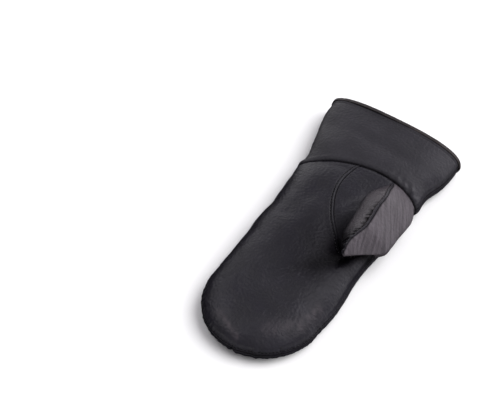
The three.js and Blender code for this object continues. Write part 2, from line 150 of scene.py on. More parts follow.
FOLDS = [
    dict(across=0.5, along=0.6, turn=0, long=0.17, wide=0.15, deep=1.2),
    dict(across=0.21, along=0.7, turn=127, long=0.2, wide=0.1, deep=0.7),
    dict(across=0.37, along=0.51, turn=76, long=0.24, wide=0.12, deep=0.8),
    dict(across=0.74, along=0.63, turn=36, long=0.13, wide=0.1, deep=0.5),
    dict(across=0.02, along=0.5, turn=24, long=0.3, wide=0.09, deep=0.4),
    dict(across=-0.42, along=0.8, turn=70, long=0.22, wide=0.07, deep=0.25),
    dict(across=-0.66, along=0.66, turn=15, long=0.16, wide=0.05, deep=0.3),
    dict(across=0.1, along=0.25, turn=-8, long=0.34, wide=0.11, deep=0.25),
    dict(across=-0.1, along=1.21, turn=-4, long=0.48, wide=0.06, deep=0.4),
    dict(across=0.3, along=0.87, turn=62, long=0.2, wide=0.05, deep=0.6),
]
BODY = {
    "y": np.concatenate(
        [HAND_SECTIONS["along"] * HAND_LENGTH, HAND_LENGTH + CUFF_SECTIONS["along"] * CUFF_LENGTH]
    ),
    "crown": np.concatenate([HAND_SECTIONS["crown"], CUFF_SECTIONS["crown"]]) * PALM_HEIGHT,
}
for side in ("little", "thumb"):
    BODY[side] = np.concatenate([HAND_SECTIONS[side] * PALM_WIDTH / 2, CUFF_SECTIONS[side] * CUFF_WIDTH / 2])


def smooth(rows, key, column, at):
    """A smooth value of one column of a table, at places along another column."""
    keys, values = rows[key], rows[column]
    last = len(keys) - 1
    at = np.asarray(at, float)
    i = np.clip(np.searchsorted(keys, at, side="right") - 1, 0, last - 1)
    low, high = np.maximum(np.arange(last + 1) - 1, 0), np.minimum(np.arange(last + 1) + 1, last)
    slopes = (values[high] - values[low]) / (keys[high] - keys[low])
    span = keys[i + 1] - keys[i]
    u = np.clip((at - keys[i]) / span, 0, 1)
    rise = 3 * u**2 - 2 * u**3
    return (
        (1 - rise) * values[i]
        + rise * values[i + 1]
        + span * ((u**3 - 2 * u**2 + u) * slopes[i] + (u**3 - u**2) * slopes[i + 1])
    )


def body(column, y):
    """The reach to one side of the mitten, or the height of its crown, at places along it."""
    return smooth(BODY, "y", column, y)


def crown(y):
    """Crown of the palm, which goes on sinking towards the fingertips past its first section."""
    first, sunk = TIP_LENGTH, 22.0
    slope = float(body("crown", first + 0.5) - body("crown", first)) / 0.5
    beyond = np.maximum(first - y, 0)
    return body("crown", np.maximum(y, first)) - slope * sunk * (1 - np.exp(-beyond / sunk))


def edge_middle(y):
    """The line midway between the two sides."""
    return (body("thumb", y) - body("little", y)) / 2


def wrist_seam(x):
    """Where the seam of hand and cuff lies along the mitten, at places across it."""
    share = np.clip(2 * x / PALM_WIDTH, -1, 1)
    return HAND_LENGTH + WRIST_BOW * (1 - share**2) + WRIST_SLANT * share


def smoothstep(value, low, high):
    """Rises smoothly from 0 at low to 1 at high."""
    share = np.clip((value - low) / (high - low), 0, 1)
    return share * share * (3 - 2 * share)


# The sharp dent under the thumb's tip, where the gusset's end is sewn in: place in plan, radius and depth
DENT_X, DENT_Y, DENT_RADIUS, DENT_DEPTH = 30.0, 131.0, 9.0, 3.2


def drawn_in(x, y):
    """How far the surface of the palm is drawn down, at places on it."""
    depth = WRIST_WAIST * np.exp(-(((y - wrist_seam(x)) / WRIST_WAIST_WIDTH) ** 2))
    depth = depth + DENT_DEPTH * np.exp(-((x - DENT_X) ** 2 + (y - DENT_Y) ** 2) / DENT_RADIUS**2)
    for fold in FOLDS:
        turn = math.radians(fold["turn"])
        dx, dy = x - fold["across"] * PALM_WIDTH / 2, y - fold["along"] * HAND_LENGTH
        along = (dx * math.cos(turn) + dy * math.sin(turn)) / (fold["long"] * PALM_WIDTH)
        across = (dy * math.cos(turn) - dx * math.sin(turn)) / (fold["wide"] * PALM_WIDTH)
        depth = depth + FOLD_DEPTH * fold["deep"] * np.exp(-(along**2) - across**2)
    return depth


def heel(y):
    """How far the underside is lifted at the mouth, to leave room for the strip that binds it."""
    rise = smoothstep(y, MOUTH - 5 * BINDING_WIDTH, MOUTH - 1.5 * BINDING_WIDTH)
    return (BINDING_THICKNESS + FIT_GAP) * rise


def stations(end, step):
    """Places round the edge, down the thumb side, round the fingertips and up the little-finger side."""
    count = max(2, int(round((end - TIP_LENGTH) / step))) if end > TIP_LENGTH else 1
    ys = np.linspace(end, TIP_LENGTH, count + 1)
    turns = np.linspace(0, math.pi, int(round(170 / step)) + 1)[1:-1]
    reach = (body("thumb", ys) + body("little", ys)) / 2
    middle = edge_middle(ys)
    tip_reach, tip_middle = reach[-1], middle[-1]
    row_y = np.concatenate([ys, np.full(len(turns), TIP_LENGTH), ys[::-1]])
    middle_x = np.concatenate([middle, np.full(len(turns), tip_middle), middle[::-1]])
    edge_x = np.concatenate([middle + reach, tip_middle + tip_reach * np.cos(turns), (middle - reach)[::-1]])
    edge_y = np.concatenate([ys, TIP_LENGTH * (1 - np.sin(turns)), ys[::-1]])
    turn = np.concatenate([np.zeros(len(ys)), turns, np.full(len(ys), math.pi)])
    run = np.concatenate([[0], np.cumsum(np.hypot(np.diff(edge_x), np.diff(edge_y)))])
    return dict(y=row_y, mx=middle_x, my=row_y, ex=edge_x, ey=edge_y, turn=turn, run=run)


def outward(place):
    """The level direction from the middle line to the edge, and the distance."""
    dx, dy = place["ex"] - place["mx"], place["ey"] - place["my"]
    reach = np.hypot(dx, dy)
    return dx / reach, dy / reach, reach


def gathers(place):
    """How far the leather stands out between its gathers, which are in the fingertips' round alone."""
    return 0.3 * PUCKER_DEPTH * np.sin(place["turn"]) * np.cos(2 * PUCKERS * place["turn"])


def upper_points(place, rises, depth):
    """The upper surface as an array [rise, station, xyz], depth under the leather's face."""
    ox, oy, reach = outward(place)
    turn = (math.pi / 2 * np.asarray(rises, float))[:, None]
    across = np.maximum(np.cos(turn), 0) ** (2 / PALM_PUFF)
    up = np.sin(turn) ** (2 / PALM_PUFF)
    fx, fy = place["mx"] + ox * reach * across, place["my"] + oy * reach * across
    height = crown(fy) - SEAM_HEIGHT
    gather = gathers(place) * np.maximum(0, 1 - 2 * up**2)
    sx, sz = across ** (PALM_PUFF - 1) / reach, up ** (PALM_PUFF - 1) / height
    length = np.hypot(sx, sz)
    sx, sz = sx / length, sz / length
    z = SEAM_HEIGHT + height * up - depth * sz - drawn_in(fx, fy) * up**2
    return np.stack([fx + ox * (gather - depth * sx), fy + oy * (gather - depth * sx), z], -1)


def under_points(place, falls, depth):
    """The underside as an array [fall, station, xyz], from the edge seam over the roll to the middle line."""
    ox, oy, reach = outward(place)
    falls = np.asarray(falls, float)[:, None]
    turn = math.pi / 2 * np.minimum(falls, 1)
    roll = UNDERSIDE_ROLL * (1 - np.cos(turn))
    inward = np.where(falls <= 1, roll, UNDERSIDE_ROLL + (reach - UNDERSIDE_ROLL) * (falls - 1))
    low = heel(place["ey"])
    drop = SEAM_HEIGHT - low
    gather = gathers(place) * np.cos(turn)
    sx, sz = np.cos(turn) / UNDERSIDE_ROLL, -np.sin(turn) / drop
    length = np.hypot(sx, sz)
    sx, sz = sx / length, sz / length
    out = reach - inward + gather - depth * sx
    z = low + drop * (1 - np.sin(turn)) - depth * sz
    return np.stack([place["mx"] + ox * out, place["my"] + oy * out, z * np.ones_like(out)], -1)


def palm_height_at(x, y):
    """The height of the upper surface at places in plan; the edge seam's height outside it."""
    reach = (body("thumb", y) + body("little", y)) / 2
    share = np.minimum(np.abs(x - edge_middle(y)) / reach, 1)
    up = (1 - share**PALM_PUFF) ** (1 / PALM_PUFF)
    return SEAM_HEIGHT + (body("crown", y) - SEAM_HEIGHT) * up - drawn_in(x, y) * up**2


def thumb(column, share):
    """A share from the table of the thumb's sections, at shares of its length."""
    return smooth(THUMB_SECTIONS, "along", column, share)


def thumb_frame(share):
    """Place along the mitten, long seam and left side of the thumb's root, at shares of its length."""
    y = HAND_LENGTH - THUMB_LENGTH * (1 - share)
    width = THUMB_WIDTH * thumb("width", share)
    left = body("thumb", y) + THUMB_OVERHANG * thumb("right", share) - width
    return y, left + width * thumb("seam", share), left


THUMB_END = float(THUMB_SECTIONS["along"][-1])
GUSSET_ROOT = float(thumb_frame(np.array(GUSSET_ROOT_SHARE))[2])
GUSSET_END = float(thumb_frame(np.array(THUMB_ROOT_SHARE))[1]) + SEAM_GAP
BED_START = float(thumb_frame(np.array(THUMB_ROOT_SHARE))[0])
BED_LEFT = float(thumb_frame(np.array(THUMB_END))[1]) - SEAM_GAP


def thumb_seam(y):
    """Where the thumb's long seam lies across the mitten, at places along it."""
    return thumb_frame(np.clip(1 - (HAND_LENGTH - y) / THUMB_LENGTH, 0, THUMB_END))[1]


def centripetal(points, count):
    """A smooth line through points in plan: a centripetal Catmull-Rom curve, evenly timed."""
    points = np.asarray(points, float)
    ends = [2 * points[0] - points[1], 2 * points[-1] - points[-2]]
    padded = np.vstack([ends[0], points, ends[1]])
    out = []
    for share in np.linspace(0, 1, count):
        place = share * (len(points) - 1)
        i = min(int(place), len(points) - 2)
        u = place - i
        p0, p1, p2, p3 = padded[i : i + 4]
        t = [max(1e-4, np.linalg.norm(b - a)) ** 0.5 for a, b in ((p0, p1), (p1, p2), (p2, p3))]
        m1 = ((p1 - p0) / t[0] - (p2 - p0) / (t[0] + t[1]) + (p2 - p1) / t[1]) * t[1]
        m2 = ((p2 - p1) / t[1] - (p3 - p1) / (t[1] + t[2]) + (p3 - p2) / t[2]) * t[1]
        out.append(
            (2 * u**3 - 3 * u**2 + 1) * p1
            + (u**3 - 2 * u**2 + u) * m1
            + (3 * u**2 - 2 * u**3) * p2
            + (u**3 - u**2) * m2
        )
    return np.array(out)


GUSSET_LINE = centripetal(
    np.stack(
        [
            GUSSET_ROOT - GUSSET_WIDTH * GUSSET_SEAM["across"],
            HAND_LENGTH - GUSSET_LENGTH * (1 - GUSSET_SEAM["along"]),
        ],
        -1,
    ),
    90,
)


def distance_to_line(x, y, line):
    """Distance in plan to a line of points, and how far along the line the nearest place is."""
    best, where = np.full(x.shape, 1e9), np.zeros(x.shape)
    start = 0.0
    for a, b in zip(line[:-1], line[1:]):
        d = b - a
        length = math.hypot(*d)
        t = np.clip(((x - a[0]) * d[0] + (y - a[1]) * d[1]) / length**2, 0, 1)
        gap = np.hypot(x - a[0] - t * d[0], y - a[1] - t * d[1])
        nearer = gap < best
        best = np.where(nearer, gap, best)
        where = np.where(nearer, start + t * length, where)
        start += length
    return best, where


def gusset_field(x, y):
    """Below zero inside the gusset's patch of the palm, the distance to its outline in size."""
    corners = [[GUSSET_END, GUSSET_LINE[-1][1]], [GUSSET_END, GUSSET_LINE[0][1]]]
    outline = np.vstack([GUSSET_LINE, corners, GUSSET_LINE[:1]])
    inside = np.zeros(x.shape, bool)
    for a, b in zip(outline[:-1], outline[1:]):
        if a[1] == b[1]:
            continue
        crosses = (y > min(a[1], b[1])) & (y <= max(a[1], b[1]))
        inside ^= crosses & (x < a[0] + (y - a[1]) / (b[1] - a[1]) * (b[0] - a[0]))
    gap, _ = distance_to_line(x, y, outline)
    return np.where(inside, -gap, gap)


def ripple(x, y, size, seed, octaves=4):
    """A smooth random relief between about -1 and 1, its bumps about size across."""
    rng = np.random.default_rng(seed)
    total = np.zeros(np.shape(x))
    for _ in range(5 * octaves):
        turn, phase = rng.uniform(0, 2 * math.pi, 2)
        wave = 2 * math.pi / (size * rng.uniform(1.0, 2.6))
        total = total + np.sin(wave * (x * math.cos(turn) + y * math.sin(turn)) + phase)
    return total / math.sqrt(5 * octaves)


def bell(value, width):
    """1 at zero, falling away smoothly on both sides."""
    return np.exp(-((value / width) ** 2))


# A mesh is rows of numbers, one row for each vertex in these columns, and triangles that point to the rows
COLUMNS = "x y z plan_x plan_y rim run side seam ridge shade worn across along".split()
COL = {name: i for i, name in enumerate(COLUMNS)}


def grid_triangles(rows, columns, flip=False):
    """Two triangles for every cell of a grid of vertices."""
    index = np.arange(rows * columns).reshape(rows, columns)
    a, b, c, d = index[:-1, :-1], index[:-1, 1:], index[1:, 1:], index[1:, :-1]
    quads = [a, d, c, b] if flip else [a, b, c, d]
    a, b, c, d = [q.ravel() for q in quads]
    return np.vstack([np.stack([a, b, c], -1), np.stack([a, c, d], -1)])


def sheet(points, flip=False, **columns):
    """A mesh of a grid of points, which are its places in plan too, with other columns filled in."""
    data = np.zeros((*points.shape[:2], len(COLUMNS)))
    data[..., :3] = points
    data[..., COL["plan_x"]], data[..., COL["plan_y"]] = points[..., 0], points[..., 1]
    for name, value in columns.items():
        data[..., COL[name]] = value
    return data.reshape(-1, len(COLUMNS)), grid_triangles(*points.shape[:2], flip)


def weld(vertices, triangles):
    """Joins vertices that share a place and drops triangles that this closes; says which are kept."""
    places = np.round(vertices[:, :3], 3)
    _, first, inverse = np.unique(places, axis=0, return_index=True, return_inverse=True)
    triangles = inverse.reshape(-1)[triangles]
    a, b, c = triangles.T
    kept = (a != b) & (b != c) & (c != a)
    return vertices[first], triangles[kept], kept


def normals(vertices, triangles):
    """Outward directions at the vertices, the mean of their triangles' by area."""
    a, b, c = (vertices[triangles[:, k], :3] for k in range(3))
    faces = np.cross(b - a, c - a)
    total = np.zeros((len(vertices), 3))
    for k in range(3):
        for axis in range(3):
            total[:, axis] += np.bincount(triangles[:, k], faces[:, axis], len(vertices))
    return total / np.maximum(np.linalg.norm(total, axis=1), 1e-12)[:, None]


def cut(vertices, triangles, field):
    """Keeps the part of a mesh where the field is below zero, with a clean edge along it."""
    below = field < 0
    count = below[triangles].sum(1)
    kept, mixed = triangles[count == 3], triangles[(count == 1) | (count == 2)]
    extra, index = [], {}

    def crossing(i, j):
        """The vertex where the field is zero between two others."""
        key = (i, j) if i < j else (j, i)
        if key not in index:
            i, j = key
            share = field[i] / (field[i] - field[j])
            index[key] = len(vertices) + len(extra)
            extra.append(vertices[i] + (vertices[j] - vertices[i]) * share)
        return index[key]

    added = []
    for t in mixed:
        t = [int(v) for v in t]
        while not (below[t[0]] and not below[t[2]]):
            t = t[1:] + t[:1]
        if below[t[1]]:
            p, q = crossing(t[1], t[2]), crossing(t[2], t[0])
            added += [(t[0], t[1], p), (t[0], p, q)]
        else:
            added.append((t[0], crossing(t[0], t[1]), crossing(t[2], t[0])))
    if extra:
        vertices = np.vstack([vertices, extra])
    if added:
        kept = np.vstack([kept, added])
    used = np.unique(kept)
    place = np.full(len(vertices), -1)
    place[used] = np.arange(len(used))
    return vertices[used], place[kept]


def join(*meshes):
    """Meshes as one, not welded."""
    vertices, triangles, start = [], [], 0
    for v, t in meshes:
        vertices.append(v)
        triangles.append(t + start)
        start += len(v)
    return np.vstack(vertices), np.vstack(triangles)


# From these millimetres to the model's frame, by where two of its pieces lie
shift_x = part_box("back_panel_thumb_side")[0][0] * 1000 - (float(edge_middle(HAND_LENGTH)) + SEAM_GAP / 2)
shift_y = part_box("mouth_binding")[1][1] * 1000 - MOUTH
SHIFT = np.array([shift_x, shift_y, 0.0])


def even_shares(points_at, step):
    """Shares from 0 to 1 that are evenly spaced along the line that points_at gives."""
    fine = np.linspace(0, 1, 2001)
    line = points_at(fine)
    run = np.concatenate([[0], np.cumsum(np.linalg.norm(np.diff(line, axis=0), axis=1))])
    return np.interp(np.linspace(0, run[-1], int(round(run[-1] / step)) + 1), run, fine)


# The spacing of the leather's vertices, and where the leather ends under the strip that binds it
STEP = 0.7
SKIN_END = MOUTH - BINDING_THICKNESS - FIT_GAP


def skin_mesh():
    """The whole skin of the hand and cuff as one welded mesh, before the seams part it."""
    places = stations(SKIN_END, STEP)
    sample = {k: v[40:41] for k, v in places.items()}
    rises = even_shares(lambda t: upper_points(sample, t, 0)[:, 0], STEP)
    falls = even_shares(lambda t: under_points(sample, 2 * t, 0)[:, 0], 1.4 * STEP) * 2
    sheets = []
    for points, side in ((upper_points(places, rises, 0), 1), (under_points(places, falls, 0), -1)):
        lengths = np.linalg.norm(np.diff(points, axis=0), axis=2)
        rim = np.concatenate([np.zeros((1, points.shape[1])), np.cumsum(lengths, axis=0)])
        sheets.append(sheet(points, side > 0, rim=rim, run=places["run"][None, :], side=side))
    upper_count = len(sheets[0][1])
    vertices, triangles = join(*sheets)
    is_upper = np.arange(len(triangles)) < upper_count
    vertices, triangles, kept = weld(vertices, triangles)
    return vertices, triangles, is_upper[kept]


# Where stitches and raised edges lie: in from the rim, beside the seams, and along the mitten at the mouth
RIM_STITCHES = 3.9
GUSSET_STITCHES = 1.6
GUSSET_GROOVES = 1.45
THUMB_STITCHES = 3.3
THUMB_RIDGE = 1.7
MOUTH_STITCHES = MOUTH - BINDING_WIDTH - 2.2


def groove(distance, width):
    """A sharp groove with rounded shoulders, 1 deep at the seam."""
    return np.exp(-np.abs(distance) / width)


def seam_relief(vertices):
    """The skin's height above its smooth surface, and where its seams and its raised edges are: the material
    paints shade in the seams and a highlight on the raised edges.
    """
    x, y = vertices[:, COL["plan_x"]], vertices[:, COL["plan_y"]]
    rim, run, upper = vertices[:, COL["rim"]], vertices[:, COL["run"]], vertices[:, COL["side"]] > 0
    # The rim: a groove, a soft swelling, pleats that are deepest at the fingertips, the line of stitches
    tip_share = smoothstep(-y, -100, -20)
    pleats = ripple(run, 0 * run, 3.2, 3)
    relief = -1.9 * groove(rim, 0.8) + 0.45 * bell(rim - 3.4, 1.8) - 0.3 * bell(rim - 6.5, 1.6)
    relief += pleats * (0.1 + 0.35 * tip_share) * bell(rim - 5.0, 3.4)
    relief += 0.2 * ripple(run, rim, 16, 5) * bell(rim - 6, 7) - 0.8 * bell(rim - RIM_STITCHES, 0.6)
    seam = np.maximum(bell(rim, 1.0), 0.85 * bell(rim - RIM_STITCHES, 0.7))
    # The wrist seam, with small wrinkles in the cuff above the thumb
    from_wrist = (y - wrist_seam(x)) / 1.05
    relief += -2.0 * groove(from_wrist, 0.85)
    relief += 0.7 * bell(from_wrist - 4.0, 2.4) + 0.3 * bell(from_wrist + 4.0, 2.4)
    relief += 0.8 * ripple(0.9 * x, 0.5 * y, 3.6, 6) * bell(from_wrist - 5.0, 4.0) * smoothstep(x, 18, 42)
    seam = np.maximum(seam, bell(from_wrist, 1.0))
    # The gusset's raised edge between two grooves
    near = upper & (x > -30) & (x < GUSSET_END + 3) & (y > 115) & (y < wrist_seam(x) + 1)
    gap = np.full(len(x), 99.0)
    gap[near], along = distance_to_line(x[near], y[near], GUSSET_LINE)
    relief += 0.5 * bell(gap, 0.7) - 1.0 * bell(gap - GUSSET_GROOVES, 0.55)
    ridge = 0.3 * bell(gap, 0.8)
    seam = np.maximum(seam, bell(gap - GUSSET_GROOVES, 0.7))
    # The seam down the back's middle, and the crease under the thumb's side
    middle = np.abs(x - float(edge_middle(HAND_LENGTH)))
    on_back = ~upper & (y < wrist_seam(x))
    relief += np.where(on_back, -1.8 * groove(middle, 0.8) + 0.3 * bell(middle - 3, 1.6), 0)
    seam = np.maximum(seam, np.where(on_back, bell(middle, 1.0), 0))
    bed = upper & (x > GUSSET_END) & (y < wrist_seam(x))
    relief += np.where(bed, -1.6 * groove(y - BED_START, 0.8), 0)
    seam = np.maximum(seam, np.where(bed, bell(y - BED_START, 1.1), 0))
    # The row of stitches at the mouth, and the slack of the leather
    relief += -0.45 * bell(y - MOUTH_STITCHES, 0.7) + 0.25 * bell(y - MOUTH_STITCHES - 1.6, 0.9)
    slack = 0.3 * ripple(x, y, 34, 11) + 0.1 * ripple(x, y, 13, 12)
    cuff_slack = 0.35 * ripple(0.45 * x, y, 26, 13)
    slack = np.where(upper, slack + np.where(y > wrist_seam(x), cuff_slack, 0), 0.3 * slack)
    relief += slack * np.minimum(rim / 8, 1)
    return relief, seam, ridge


def to_segment(x, y, start, end):
    """Distance in plan to a straight stretch, and the share of the way along it."""
    dx, dy = end[0] - start[0], end[1] - start[1]
    t = np.clip(((x - start[0]) * dx + (y - start[1]) * dy) / (dx * dx + dy * dy), 0, 1)
    return np.hypot(x - start[0] - t * dx, y - start[1] - t * dy), t


# Creases round the hollow under the thumb's tip, in plan, whose painted shade thins out towards their ends,
# and bands of painted highlight near the fingertips where the palm rolls over to its rim
SHADED_CREASES = [
    dict(start=(DENT_X, DENT_Y), end=(3.0, 168.0), width=9.0, deep=0.6, thinning=0.7),
    dict(start=(DENT_X, DENT_Y), end=(22.0, 86.0), width=13.0, deep=0.6, thinning=0.6),
    dict(start=(DENT_X, DENT_Y), end=(55.0, 146.0), width=7.5, deep=0.8, thinning=0.0),
    dict(start=(34.0, 119.0), end=(-2.0, 77.0), width=8.0, deep=0.5, thinning=0.8),
]
HIGHLIGHT_BANDS = [
    dict(start=(-26.0, 19.0), end=(2.0, 6.5), width=2.6, worn=0.45),
    dict(start=(22.0, 26.0), end=(43.0, 46.0), width=6.5, worn=0.3),
    dict(start=(43.0, 46.0), end=(48.0, 68.0), width=4.5, worn=0.34),
]


def deep_shade(vertices):
    """How deep the painted shade on the leather is, round the thumb's tip and in the creases there."""
    x, y = vertices[:, COL["plan_x"]], vertices[:, COL["plan_y"]]
    share = np.clip(1 - (HAND_LENGTH - y) / THUMB_LENGTH, 0, THUMB_END)
    beside_thumb = x - smooth(THUMB_SHAPE, "along", "left", share)
    light = 1 - 0.87 * bell(np.hypot(x - DENT_X, y - DENT_Y), 13.0)
    stretch = smoothstep(-y, -196, -150) * smoothstep(y, 112, 130)
    light *= 1 - 0.75 * bell(beside_thumb, np.where(beside_thumb < 0, 6.5, 9.0)) * stretch
    light *= 1 - 0.4 * bell(np.hypot(x - 16, y - 122), 34.0)
    for crease in SHADED_CREASES:
        gap, t = to_segment(x, y, crease["start"], crease["end"])
        light *= 1 - crease["deep"] * bell(gap, crease["width"]) * (1 - t) ** crease["thinning"]
    return np.where(vertices[:, COL["side"]] > 0, 1 - light, 0)


def painted_band_highlight(vertices):
    """How strong the painted highlight is, in the bands near the fingertips where the palm rolls over to its
    rim.
    """
    x, y = vertices[:, COL["plan_x"]], vertices[:, COL["plan_y"]]
    bands = [b["worn"] * bell(to_segment(x, y, b["start"], b["end"])[0], b["width"]) for b in HIGHLIGHT_BANDS]
    painted_highlight = np.maximum.reduce(bands) * (1 + 0.5 * ripple(x, y, 5, 51))
    return np.where(vertices[:, COL["side"]] > 0, painted_highlight, 0)


def skin_panels():
    """The skin with its relief, parted along its seams into the leather pieces that it is sewn from."""
    vertices, triangles, is_upper = skin_mesh()
    facing = normals(vertices, triangles)
    at_rim = vertices[:, COL["rim"]] < 0.01
    level = facing * [1, 1, 0]
    level /= np.maximum(np.linalg.norm(level, axis=1), 1e-9)[:, None]
    facing[at_rim] = level[at_rim]
    relief, seam, ridge = seam_relief(vertices)
    vertices[:, :3] += facing * relief[:, None]
    vertices[:, 2] = np.maximum(vertices[:, 2], 0)
    vertices[:, COL["seam"]], vertices[:, COL["ridge"]] = seam, ridge
    vertices[:, COL["shade"]], vertices[:, COL["worn"]] = deep_shade(vertices), painted_band_highlight(vertices)
    upper, under = (vertices, triangles[is_upper]), (vertices, triangles[~is_upper])

    def part(mesh, field_at):
        """The part of a mesh where a field of places in plan is below zero."""
        v, t = mesh
        used = np.unique(t)
        place = np.full(len(v), -1)
        place[used] = np.arange(len(used))
        v, t = v[used], place[t]
        return cut(v, t, field_at(v[:, COL["plan_x"]], v[:, COL["plan_y"]]))

    hand = part(upper, lambda x, y: y - wrist_seam(x))
    cuff_palm = part(upper, lambda x, y: wrist_seam(x) - y)
    back = part(under, lambda x, y: y - wrist_seam(x))
    cuff_back = part(under, lambda x, y: wrist_seam(x) - y)
    line = float(edge_middle(HAND_LENGTH))
    back_thumb = part(back, lambda x, y: line - x)
    back_little = part(back, lambda x, y: x - line)
    patch = lambda x, y: np.maximum(gusset_field(x, y), x - thumb_seam(y))
    bed = lambda x, y: np.maximum.reduce([BED_LEFT - x, BED_START - y, thumb_seam(y) - x])
    palm = part(part(hand, lambda x, y: -patch(x, y)), lambda x, y: -bed(x, y))
    gusset, flank = part(hand, patch), part(hand, bed)
    return palm, gusset, flank, back_thumb, back_little, cuff_palm, cuff_back


# The thumb as it lies: its left crease, seam and right side across the mitten, the seam's height, and the
# heights of the right side and the crease
THUMB_SHAPE = table(
    "along left seam right top side foot",
    [
        (0.0, 39.0, 40.7, 43.0, 50.3, 47.2, 47.0),
        (0.046, 36.6, 40.6, 45.8, 52.0, 44.0, 44.0),
        (0.1, 33.4, 39.9, 49.4, 53.0, 41.4, 42.3),
        (0.17, 29.6, 40.5, 53.5, 53.8, 37.8, 40.0),
        (0.236, 26.6, 42.1, 57.8, 54.2, 34.3, 38.0),
        (0.303, 24.0, 43.8, 62.6, 54.6, 31.4, 36.4),
        (0.37, 23.0, 45.0, 66.0, 55.0, 31.0, 36.2),
        (0.5, 21.7, 44.5, 66.4, 55.4, 30.5, 36.4),
        (0.64, 20.0, 43.0, 65.7, 55.2, 29.0, 36.0),
        (0.775, 18.4, 42.2, 66.2, 53.4, 27.5, 35.3),
        (0.86, 18.8, 41.0, 66.2, 51.0, 26.5, 35.2),
        (0.94, 20.8, 38.8, 64.2, 47.6, 25.0, 34.8),
        (1.05, 25.5, 36.2, 59.6, 40.9, 22.0, 33.5),
        (1.15, 28.0, 32.2, 56.0, 34.3, 19.0, 29.0),
    ],
)
# How full its faces are, from 1, flat, to 2, round
LEFT_FACET, RIGHT_FACET, UNDER_FACET = 1.2, 1.3, 2.0


def thumb_section(share):
    """The thumb's cross-section, left and right of its seam: half width, widest height, lowest height."""
    left, seam, right, top, side, foot = (
        smooth(THUMB_SHAPE, "along", column, share)
        for column in ("left", "seam", "right", "top", "side", "foot")
    )
    opened = smoothstep(share, 0.31, 0.4)
    floor = side - 4 + (SEAM_HEIGHT / 2 - side + 4) * opened
    y = HAND_LENGTH - THUMB_LENGTH * (1 - share)
    return y, seam, (seam - left, foot, foot - 3 - 3 * opened), (right - seam, side, floor), top


def inside_thumb(vertices):
    """Below zero where a point is well inside the thumb."""
    x, y, z = vertices[:, :3].T
    share = 1 - (HAND_LENGTH - y) / THUMB_LENGTH
    _, seam, left, right, top = thumb_section(np.clip(share, 0, THUMB_END))
    half, belly, low = (np.where(x > seam, b, a) for a, b in zip(left, right))
    v = np.where(z > belly, (z - belly) / (top - belly), (belly - z) / (belly - low))
    power = np.where(z > belly, np.where(x > seam, RIGHT_FACET, LEFT_FACET), UNDER_FACET)
    value = np.abs((x - seam) / half) ** power + np.abs(v) ** power - 0.8
    return np.where((share < 0.02) | (share > THUMB_END), 1.0, value)


def thumb_rings():
    """The thumb's smooth skin, as rings from its tip to the wrist."""
    step = STEP * 0.85
    shares = np.linspace(0, THUMB_END, int(round(THUMB_END * THUMB_LENGTH / step)))
    nose = np.sqrt(1 - np.linspace(1, 0, 9)[:-1] ** 2)
    ring_shares = np.concatenate([np.zeros(len(nose)), shares])[:, None]
    shrink = np.concatenate([nose, np.ones(len(shares))])[:, None]
    forward = np.concatenate([-1.2 * np.linspace(1, 0, 9)[:-1], np.zeros(len(shares))])[:, None]
    y, seam, left, right, top = thumb_section(ring_shares)
    turn = np.linspace(0, 2 * math.pi, int(round(150 / step)) + 1)[None, :]
    on_right, above = np.cos(turn) > 0, np.sin(turn) > 0
    half, belly, low = (np.where(on_right, b, a) for a, b in zip(left, right))
    power = 2 / np.where(above, np.where(on_right, RIGHT_FACET, LEFT_FACET), UNDER_FACET)
    x = seam + half * shrink * np.sign(np.cos(turn)) * np.abs(np.cos(turn)) ** power
    height = np.where(above, top - belly, belly - low) * shrink
    z = belly + height * np.sign(np.sin(turn)) * np.abs(np.sin(turn)) ** power
    y = y * np.ones_like(x)
    edge = body("thumb", y)
    opened = smoothstep(ring_shares, 0.31, 0.45)
    drawn = edge + (x - edge) * smoothstep(z, SEAM_HEIGHT, SEAM_HEIGHT + THUMB_FLANK)
    x = np.where(x > edge, x + (drawn - x) * opened, x)
    points = np.stack([x, y + forward, z], -1)
    across = np.where(above, x - seam, np.where(on_right, 30, -30))
    along = ring_shares * THUMB_LENGTH + forward
    rings = sheet(points, flip=True, across=across, along=along, rim=np.abs(z - SEAM_HEIGHT))
    vertices, triangles, _ = weld(*rings)
    return vertices, triangles


